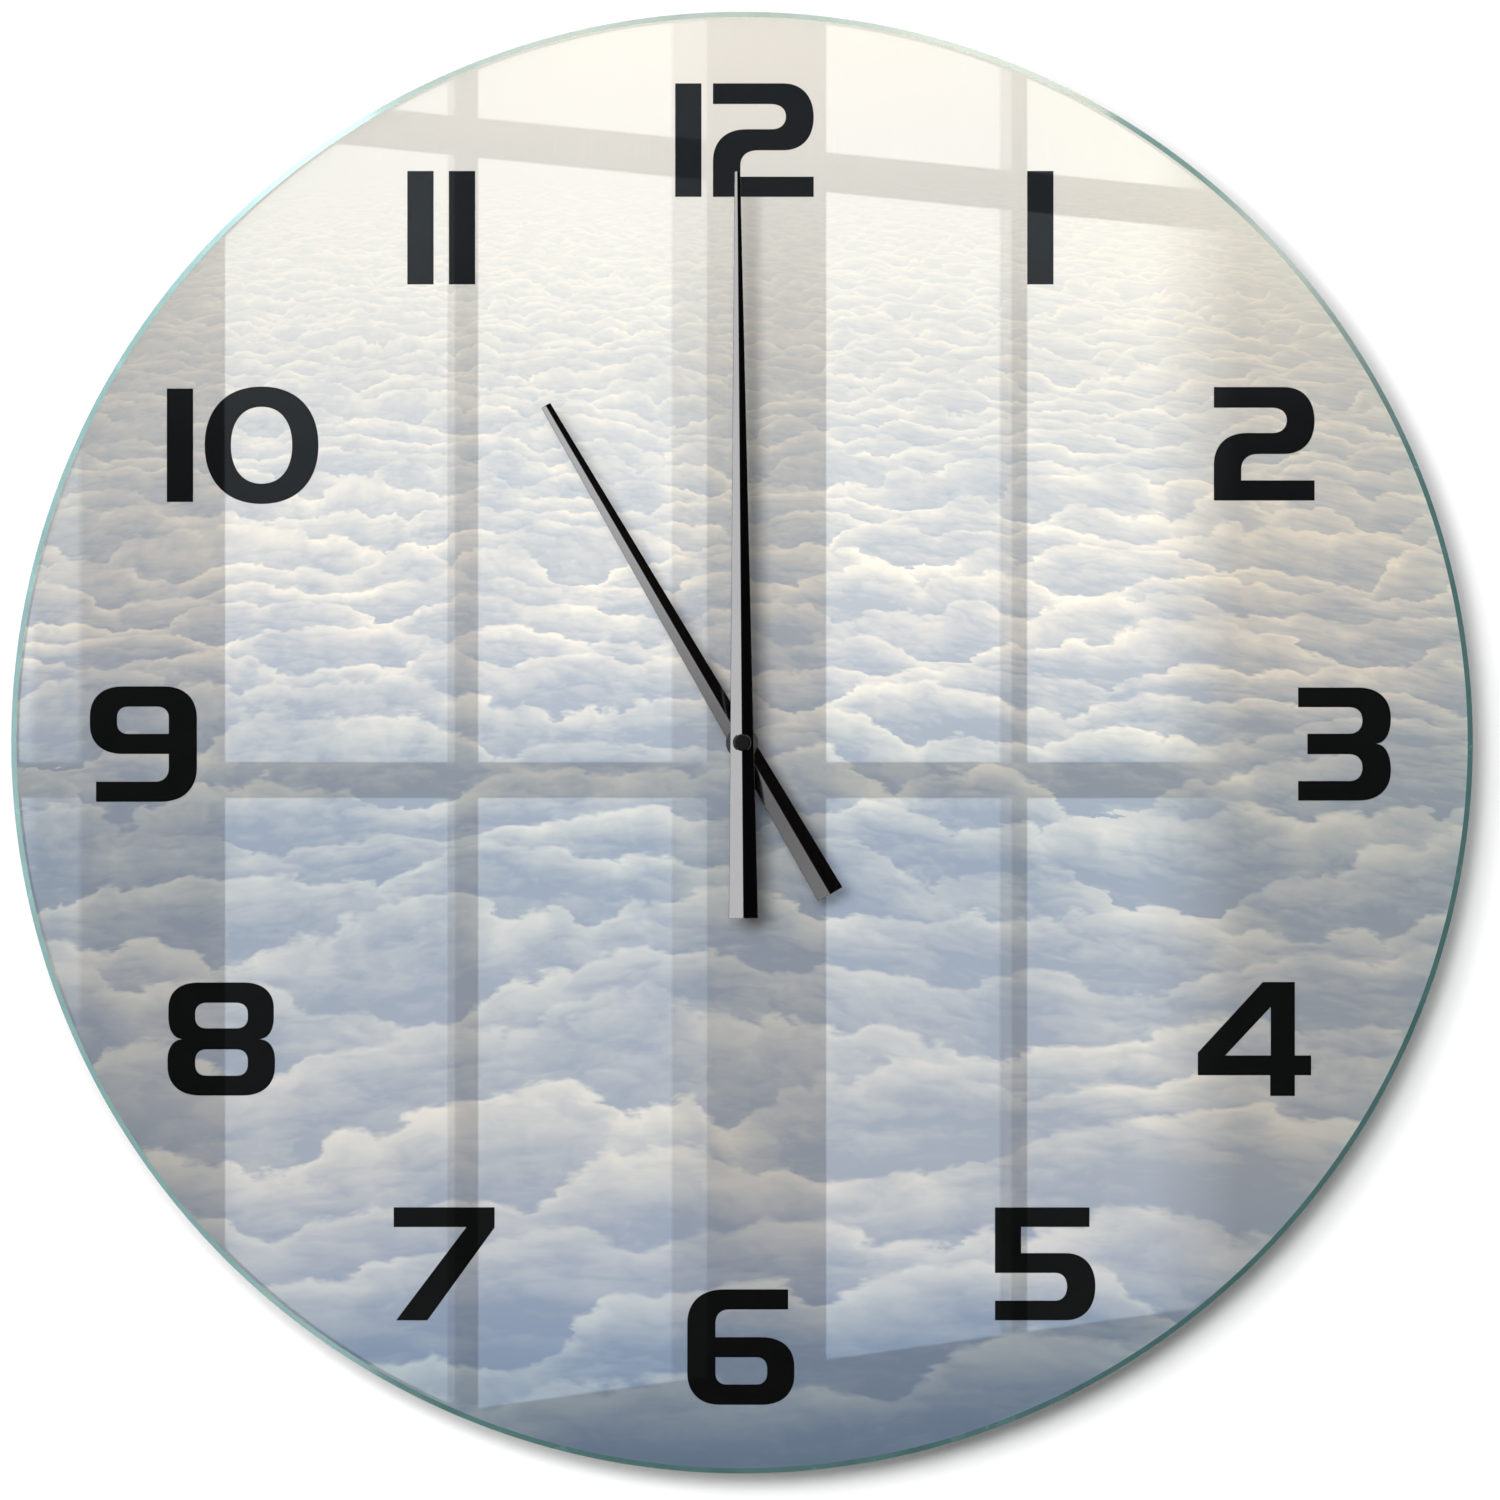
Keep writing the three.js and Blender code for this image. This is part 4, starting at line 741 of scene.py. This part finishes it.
# Rubber spacers: a shallow cup at the wall, three grip rings and a wider end on the film
for side in ("left", "right"):
    node_name = f"wall_spacer_{side}"
    x0, x1, _, _, _, z1 = span(node_name)
    big = (x1 - x0) / 2
    small = big - 1.0
    profile = [(0, 0.5), (2.6, 0.5), (3.0, 0.1), (3.3, 0.0), (small - 0.35, 0.0),
               (small - 0.1, 0.1), (small, 0.35)]
    for ring in range(3):
        level = 4.0 + ring * 3.6
        radius = small + (level / (z1 - 1.5)) * (big - small)
        profile += [(radius, level), (radius - 0.25, level + 0.2), (radius - 0.25, level + 0.6),
                    (radius, level + 0.8)]
    profile += [(big, z1 - 1.5), (big, z1 - 0.2), (big - 0.2, z1), (0, z1)]
    mesh = moved(to_mesh(turned(profile, 64)), *middle(node_name))
    piece(f"rubber_foot_{side}", mesh, [RUBBER], "clock_body", [node_name])

# Cell: jacket rolled over both steel ends, button at the positive end
x0, x1, _, _, z0, z1 = span("battery")
CELL_R = (z1 - z0) / 2
LENGTH = x1 - x0
profile = [(0, 0.12), (4.6, 0.12), (5.0, 0.0), (5.6, 0.0), (5.9, 0.15), (CELL_R - 0.55, 0.12),
           (CELL_R - 0.2, 0.2), (CELL_R, 0.6)]
profile += [(radius, LENGTH - down) for radius, down in (
    (CELL_R, 1.7), (CELL_R - 0.15, 1.35), (CELL_R - 0.6, 1.15), (CELL_R - 1.0, 1.15),
    (CELL_R - 1.2, 1.3), (3.4, 1.3), (2.85, 1.2), (2.75, 0.25), (2.5, 0), (0, 0))]
mesh = to_mesh(turned(profile, 64, slots=[1] * 5 + [0] * 6 + [1] * 7))
mesh.transform(Matrix.Rotation(math.pi / 2, 4, "Y"))
moved(mesh, x0, middle("battery")[1], (z0 + z1) / 2)
piece("cell_can", mesh, [cell_jacket(x0, x1), NICKEL], "cell_body", ["battery"],
      crease=25)


# ---------------------------------------------------------------- repeated parts by nodes

def grown(base, tree, values):
    """The plain mesh that a tree makes of an object; inputs are set by their identifiers."""
    modifier = base.modifiers.new("grown", "NODES")
    modifier.node_group = tree
    for item in tree.interface.items_tree:
        if item.item_type == "SOCKET" and item.in_out == "INPUT" and item.name in values:
            modifier[item.identifier] = values[item.name]
    return evaluated(base)


SHAPE = ("Geometry", "Geometry")    # the name and kind of what a tree gives


def plain_and_dressed(add, repeated, finish, beside=None):
    """Ends a tree: its instances made plain, joined to what stands beside them, in a finish."""
    made = add("RealizeInstances", repeated)
    if beside:
        both = add("JoinGeometry", beside)
        both.id_data.links.new(made, both.node.inputs[0])
        made = both
    dressed = add("SetMaterial", {"Geometry": made, "Material": finish})
    add("NodeGroupOutput", dressed)


def ribs_round_a_rim():
    tree, add, given = new_group("ribs_round_a_rim", "GeometryNodeTree", SHAPE,
                                 Geometry="Geometry", Ribs="Int", Rim="Float", Rib="Float",
                                 Height="Float", Level="Float", Finish="Material")
    places = add("MeshCircle", given["Ribs"], given["Rim"])
    lift = add("ShaderNodeCombineXYZ", {"Z": given["Level"]})
    places = add("Transform", {"Geometry": places, "Translation": lift})
    rib = add("MeshCylinder", {"Vertices": 12, "Radius": given["Rib"], "Depth": given["Height"]})
    ribs = add("InstanceOnPoints", {"Points": places, "Instance": rib})
    plain_and_dressed(add, ribs, given["Finish"], given["Geometry"])
    return tree


x0, x1, _, _, z0, z1 = span("setting_knob")
KNOB_R = (x1 - x0) / 2
RIB_R = 0.42
core_r = KNOB_R - RIB_R
work = turned([(0, z0 + 0.35), (2.6, z0 + 0.35), (2.9, z0 + 0.05), (3.1, z0), (core_r - 0.4, z0),
               (core_r, z0 + 0.4), (core_r, z1), (1.35, z1), (1.35, z1 - 0.7), (0, z1 - 0.7)], 72)
knob = scratch("knob", to_mesh(work))
mesh = grown(knob, ribs_round_a_rim(), {
    "Ribs": 18, "Rim": core_r, "Rib": RIB_R, "Height": z1 - z0 - 0.5, "Level": (z0 + z1 + 0.5) / 2,
    "Finish": GREY_ABS})
piece("knob_ribbed", moved(mesh, *middle("setting_knob")), [GREY_ABS], "setting_works",
      ["setting_knob"], crease=30)


def screws_on_points():
    tree, add, given = new_group("screws_on_points", "GeometryNodeTree", SHAPE, Geometry="Geometry",
                                 Screw="Object", Seed="Int", Finish="Material")
    screw = add("ObjectInfo", given["Screw"], out="Geometry")
    turn = add("FunctionNodeRandomValue", {
        "Max": (0.0, 0.0, math.pi), "Seed": given["Seed"]}, data_type="FLOAT_VECTOR", out="Value")
    placed = add("InstanceOnPoints", {
        "Points": given["Geometry"], "Instance": screw, "Rotation": turn})
    plain_and_dressed(add, placed, given["Finish"])
    return tree


def cross_head_screw(radius, head, length):
    """A pan-head screw, head towards -z, with a cross recess cut by two tapered blades."""
    profile = [(radius * math.sin(a), head * 0.55 * (1 - math.cos(a)))
               for a in (math.radians(10 * k) for k in range(10))]
    profile += [(radius, head), (0.8, head), (0.8, head + length), (0, head + length)]
    body = scratch("screw", to_mesh(turned(profile, 32)))
    cutter = bmesh.new()
    for turn in (0, math.pi / 2):
        blade = Matrix.Diagonal((radius * 1.25, radius * 0.26, head * 1.1, 1))
        bmesh.ops.create_cube(cutter, size=1.0, matrix=Matrix.Rotation(turn, 4, "Z") @ blade)
    for corner in cutter.verts:
        if corner.co.z > 0:
            corner.co.xy *= 0.55
    tool = scratch("cutter", plain_mesh(cutter))
    cut = body.modifiers.new("recess", "BOOLEAN")
    cut.object = tool
    cut.operation = "DIFFERENCE"
    cut.solver = "EXACT"
    cut.use_self = True
    result = evaluated(body)
    bpy.data.objects.remove(tool)
    return scratch("screw", result)


places = bmesh.new()
screw_nodes = [f"cover_screw_{k}" for k in (1, 2, 3, 4)] + [f"hanger_screw_{k}" for k in (1, 2)]
for name in screw_nodes:
    x0, x1, _, _, z0, z1 = span(name)
    places.verts.new((*middle(name), z0))
HEAD_R, HEAD_T = (x1 - x0) / 2, 0.8    # all six are alike
screw = cross_head_screw(HEAD_R, HEAD_T, z1 - z0 - HEAD_T)
mesh = grown(scratch("places", plain_mesh(places)), screws_on_points(),
             {"Screw": screw, "Seed": 5, "Finish": ZINC})
bpy.data.objects.remove(screw)
piece("cross_head_screws", mesh, [ZINC], "clock_body", screw_nodes, crease=30)


# ---------------------------------------------------------------- stage, lamps and camera

FRAME_W = 308.1 * MM      # width of the camera's frame at the glass's middle
CAMERA_BACK = 2.0         # m, from there to the camera
CAMERA_AT = Vector((1.643 * MM, -(GLASS_BACK + GLASS_FRONT) / 2 * MM - CAMERA_BACK,
                    AXIS_Z - 1.52 * MM))
camera = scratch("camera", bpy.data.cameras.new("camera"))
camera.location = CAMERA_AT
camera.rotation_euler = (math.pi / 2, 0, 0)
camera.data.sensor_width = 36.0
camera.data.lens = camera.data.sensor_width * CAMERA_BACK / FRAME_W
scene.camera = camera
scene.view_settings.view_transform = "Standard"

AMBIENT = 0.184           # the level of the even light from all round
GLOSS_WHITE = 0.95        # what gloss sees of the white surroundings
AXIS = Vector((0, 0, AXIS_Z))


def studio_world():
    """Soft even light of AMBIENT; white to the camera, and to gloss and glass."""
    world = bpy.data.worlds.new("studio")
    add = emptied(world)
    path = add("LightPath", out=None)
    gloss = add("MULTIPLY", path["Is Glossy Ray"], GLOSS_WHITE)
    level = AMBIENT
    for seen in (path["Is Transmission Ray"], gloss, path["Is Camera Ray"]):
        level = add("MAXIMUM", seen, level)
    add("OutputWorld", add("Background", (1, 1, 1, 1), level))
    return world


scene.world = studio_world()


def plane(name, corners, material):
    mesh = bpy.data.meshes.new(name)
    mesh.from_pydata(corners, [], [(0, 1, 2, 3)])
    mesh.materials.append(material)
    made = scratch(name, mesh)
    return made


BEHIND_DIAL = 140.0 * MM  # from the axis; the dial hides the wall inside this
# painted light: the wall's own glow rises between these radii, across the outer part of the clock's
# shadow
WALL_GLOW, GLOW_FROM, GLOW_TO = 0.228, 152.5 * MM, 155.2 * MM    # it rises between these


def wall_paint():
    """Matt white wall, seen only from its front. For the camera and the glass it glows with a
    painted light of its own, which keeps the backdrop white; the glow is nil close round the dial
    and rises across the outer part of the clock's shadow, so that painted light trims the shadow.
    The lamp behind it reaches the clock's back through it, but no light goes on from there. Gloss
    behind the dial mirrors the world through it."""
    material, add = new_material("matt_white_wall")
    path = add("LightPath", out=None)
    paint = add("BsdfDiffuse", linear("#ffffff"))
    offset = add("VectorMath", add("TexCoord", out="Object"), -AXIS)
    radius = add("VectorMath", offset, operation="LENGTH", out="Value")
    glow = add("MapRange", radius, GLOW_FROM, GLOW_TO, 0.0, WALL_GLOW)
    seen = add("MAXIMUM", path["Is Camera Ray"], path["Is Transmission Ray"])
    lift = add("Emission", {"Strength": add("MULTIPLY", seen, glow)})
    front = add("AddShader", paint, lift)
    first = add("LESS_THAN", path["Diffuse Depth"], 0.5)
    lit_through = add("MULTIPLY", path["Is Shadow Ray"], first)
    inside = add("LESS_THAN", radius, BEHIND_DIAL)
    mirrored = add("MULTIPLY", path["Is Glossy Ray"], inside)
    lets_by = add("MAXIMUM", lit_through, mirrored)
    behind = add("NewGeometry", out="Backfacing")
    add("OutputMaterial", add("MixShader", add("MAXIMUM", behind, lets_by), front,
                              add("BsdfTransparent")))
    return material


plane("wall", [(-3, 0, -2), (3, 0, -2), (3, 0, 3), (-3, 0, 3)], wall_paint())

floor_paint, add = new_material("pale_floor")
add("OutputMaterial", add("BsdfDiffuse", linear("#ecebe9")))
floor = plane("floor", [(-6, -6, -2), (6, -6, -2), (6, 6, -2), (-6, 6, -2)], floor_paint)
floor.visible_diffuse = False


def lamp(name, kind, place, watts, **settings):
    """A lamp aimed at the dial's axis, seen neither in gloss nor through glass."""
    made = scratch(name, bpy.data.lights.new(name, kind))
    made.data.energy = watts
    for key, value in settings.items():
        setattr(made.data, key, value)
    made.location = place
    made.rotation_euler = (AXIS - place).to_track_quat("-Z", "Y").to_euler()
    made.visible_glossy = made.visible_transmission = False
    return made


# Round studio lamps: how bright each shows a white surface facing it at the axis, where it
# stands from the axis, and how wide it is, in metres
for name, level, place, size in (("key", 0.64, (-1.087, -3.0, 0.747), 1.51),
                                 ("high_key", 0.213, (-0.146, -3.0, 0.85), 0.91),
                                 ("back", 0.76, (0.9, 2.0, 0.8), 1.2)):
    watts = level * math.pi ** 2 * Vector(place).length_squared
    lamp(name, "AREA", Vector(place) + AXIS, watts, shape="DISK", size=size)

# Daylight through a window opposite the clock. Its bars as seen on the dial, in mm from the axis:
# where each step lies, how bright it is after it, and half the width of the step.
COLUMNS = [
    (-145.5, 0.5, 1.0), (-136.0, 0.0, 0.7), (-106.2, 1.0, 0.2), (-60.5, 0.45, 0.2),
    (-59.0, 0.0, 0.2), (-54.2, 1.0, 0.2), (-14.4, 0.5, 0.25), (-7.2, 0.0, 0.25), (17.3, 1.0, 0.2),
    (53.0, 0.45, 0.3), (55.4, 0.0, 0.3), (58.6, 1.0, 0.2), (93.0, 0.0, 9.0)]
TOP_BAR, TOP_SLOPE = [(114.8, 0.0, 0.25), (123.0, 1.0, 0.25)], -0.0988
MIDDLE_BAR = [(-11.4, 0.0, 0.2), (-4.0, 1.0, 0.2)]
SILL, SILL_SLOPE = [(-129.2, 1.0, 0.3)], 0.14


def window_panes():
    """1 in the window's panes and 0 on its bars, for a place on the dial in mm."""
    group, add, given = new_group("window_panes", "ShaderNodeTree", ("Pane", "Float"), X="Float",
                                  Y="Float")
    x, y = given[:2]
    tilted = add("MULTIPLY_ADD", x, -TOP_SLOPE, y)
    sill = add("MULTIPLY_ADD", x, -SILL_SLOPE, y)
    pane = 1.0
    for value, edges, level in ((x, COLUMNS, 1.0), (tilted, TOP_BAR, 1.0), (y, MIDDLE_BAR, 1.0),
                                (sill, SILL, 0.0)):
        total = level
        for place, after, blur in edges:
            rise = add("MapRange", value, place - blur, place + blur, 0.0, after - level)
            total = add("ADD", rise, total)
            level = after
        pane = add("MULTIPLY", total, pane)
    add("NodeGroupOutput", pane)
    return group


PANES = window_panes()


def window(add, x, y):
    """The panes at a place on the dial in mm, and how far up the dial it is."""
    pane = add("Group", x, y, node_tree=PANES)
    return pane, add("MULTIPLY_ADD", y, 1 / DIAL_D, 0.5)


WINDOW_DISTANCE = 3.0
DAYLIGHT_W = 195.0
LIT_R = FILM_R - 0.3      # mm, daylight ends just short of the film's edge


def daylight():
    """The window's light on the dial: a distant lamp masked to the panes, and to the dial."""
    made = lamp("daylight", "SPOT", Vector((0, -WINDOW_DISTANCE, AXIS_Z)), DAYLIGHT_W,
                spot_size=math.radians(12), spot_blend=0.0, shadow_soft_size=0.0)
    add = emptied(made.data)
    way = add("SeparateXYZ", add("TexCoord", out="Normal"), out=None)
    throw = (WINDOW_DISTANCE - GLASS_BACK * MM) / MM
    x, y = (add("MULTIPLY", add("DIVIDE", way[k], way[2]), -throw) for k in (0, 1))
    pane, share = window(add, x, y)
    square = add("MULTIPLY_ADD", x, x, add("MULTIPLY", y, y))
    on_dial = add("LESS_THAN", square, LIT_R ** 2)
    strength = add("MULTIPLY", pane, on_dial)
    level = add("ValToRGB", share, stops=[
        (0.0, 0.92), (0.55, 0.98), (0.7, 0.92), (0.8, 0.8), (0.92, 0.5), (1.0, 0.42)])
    strength = add("MULTIPLY", strength, level)
    add("OutputLight", add("Emission", linear("#f4faff"), strength))


daylight()


def card(name, corners, shade, colour="#ffffff", for_glass=False):
    """A card that only gloss sees, or only the sharp mirror of the glass. shade(add) is its
    radiance."""
    material, add = new_material(name)
    light = add("Emission", linear(colour), shade(add))
    mirrored = add("LightPath", out="Is Singular Ray")
    if for_glass:
        mirrored = add("SUBTRACT", 1.0, mirrored)
    add("OutputMaterial", add("MixShader", mirrored, light, add("BsdfTransparent")))
    made = plane(name, corners, material)
    made.visible_camera = made.visible_diffuse = made.visible_shadow = False
    made.visible_volume_scatter = False


# The window as the glass mirrors it to the camera, behind which it stands
MIRROR_Y, MIRROR_HALF = -2.6, 0.8
MIRROR_REACH = (-MIRROR_Y - GLASS_FRONT * MM) / (-CAMERA_AT.y - GLASS_FRONT * MM)


def window_shade(add):
    xyz = own_xyz(add)
    scale = 1 / MM / (1 + MIRROR_REACH)
    seen = CAMERA_AT * MIRROR_REACH - AXIS * (1 + MIRROR_REACH)
    x, y = (add("MULTIPLY_ADD", xyz[k], scale, seen[k] * scale) for k in (0, 2))
    pane, share = window(add, x, y)
    sky = add("ValToRGB", share, stops=[
        (0.0, 0.06), (0.42, 0.08), (0.5, 0.2), (0.7, 0.36), (0.85, 0.6)])
    bars = add("ValToRGB", share, stops=[(0.0, 0.02), (0.5, 0.04), (0.7, 0.08), (0.85, 0.24)])
    return add("Mix", {0: pane, 2: bars, 3: sky})


card("window_card", [(x * MIRROR_HALF, MIRROR_Y, AXIS_Z + z * MIRROR_HALF)
                     for x, z in ((-1, -1), (-1, 1), (1, 1), (1, -1))],
     window_shade, "#e2f2ff", for_glass=True)

# Cards stand round the clock. The folded hands see their outer parts, the dial's edge sees the
# parts by the wall.
SIDE_X, LEVEL_Z = 0.35, 0.62
HANDS_SEE, EDGE_SEES = -0.27, -0.23    # y, in metres


def by_depth(add, depth, for_hands, for_edge):
    near_wall = add("MapRange", depth, HANDS_SEE, EDGE_SEES)
    return add("Mix", {0: near_wall, 2: for_hands, 3: for_edge})


def left_shade(add):
    """Strong enough for black hands to show grey, weaker by the wall for the dial's edge."""
    xyz = own_xyz(add)
    up = add("MapRange", xyz[2], AXIS_Z - 0.35, AXIS_Z + 0.35)
    up = add("ValToRGB", up, stops=[
        (0.0, 0.3), (0.143, 0.4), (0.214, 0.1), (0.357, 1.0), (1.0, 1.0)])
    soft = add("MapRange", xyz[2], AXIS_Z - 0.35, AXIS_Z, 1.0, 2.5)
    return by_depth(add, xyz[1], add("MULTIPLY", up, 9.0), soft)


def right_shade(add):
    """Dark for the hands; by the wall, for the dial's edge, bright above the clock."""
    xyz = own_xyz(add)
    up = add("MapRange", xyz[2], AXIS_Z, AXIS_Z + 0.6)
    up = add("ValToRGB", up, stops=[(0.0, 0.003), (0.25, 0.02), (0.42, 0.3), (0.58, 1.0)])
    return by_depth(add, xyz[1], 0.02, add("MULTIPLY", up, 8.0))


def top_shade(add):
    """Brighter to both sides of the middle."""
    along = add("MapRange", own_xyz(add)[0], -0.4, 0.4)
    level = add("ValToRGB", along, stops=[
        (0.15, 0.6), (0.3, 0.85), (0.42, 0.58), (0.58, 0.58), (0.7, 1.0)])
    return add("MULTIPLY", level, 7.5)


for name, x, shade, colour in (("left_card", -SIDE_X, left_shade, "#ffffff"),
                               ("right_card", SIDE_X, right_shade, "#ffe2d8")):
    card(name, [(x, y, AXIS_Z + z)
                for y, z in ((-0.05, -0.6), (-1.2, -0.6), (-1.2, 0.6), (-0.05, 0.6))],
         shade, colour)
for name, z, shade, colour in (("low_card", -LEVEL_Z, lambda add: 0.1, "#ffffff"),
                               ("top_card", LEVEL_Z, top_shade, "#ffded0")):
    card(name, [(x, y, AXIS_Z + z)
                for x, y in ((-0.4, -0.05), (-0.4, -0.7), (0.4, -0.7), (0.4, -0.05))],
         shade, colour)
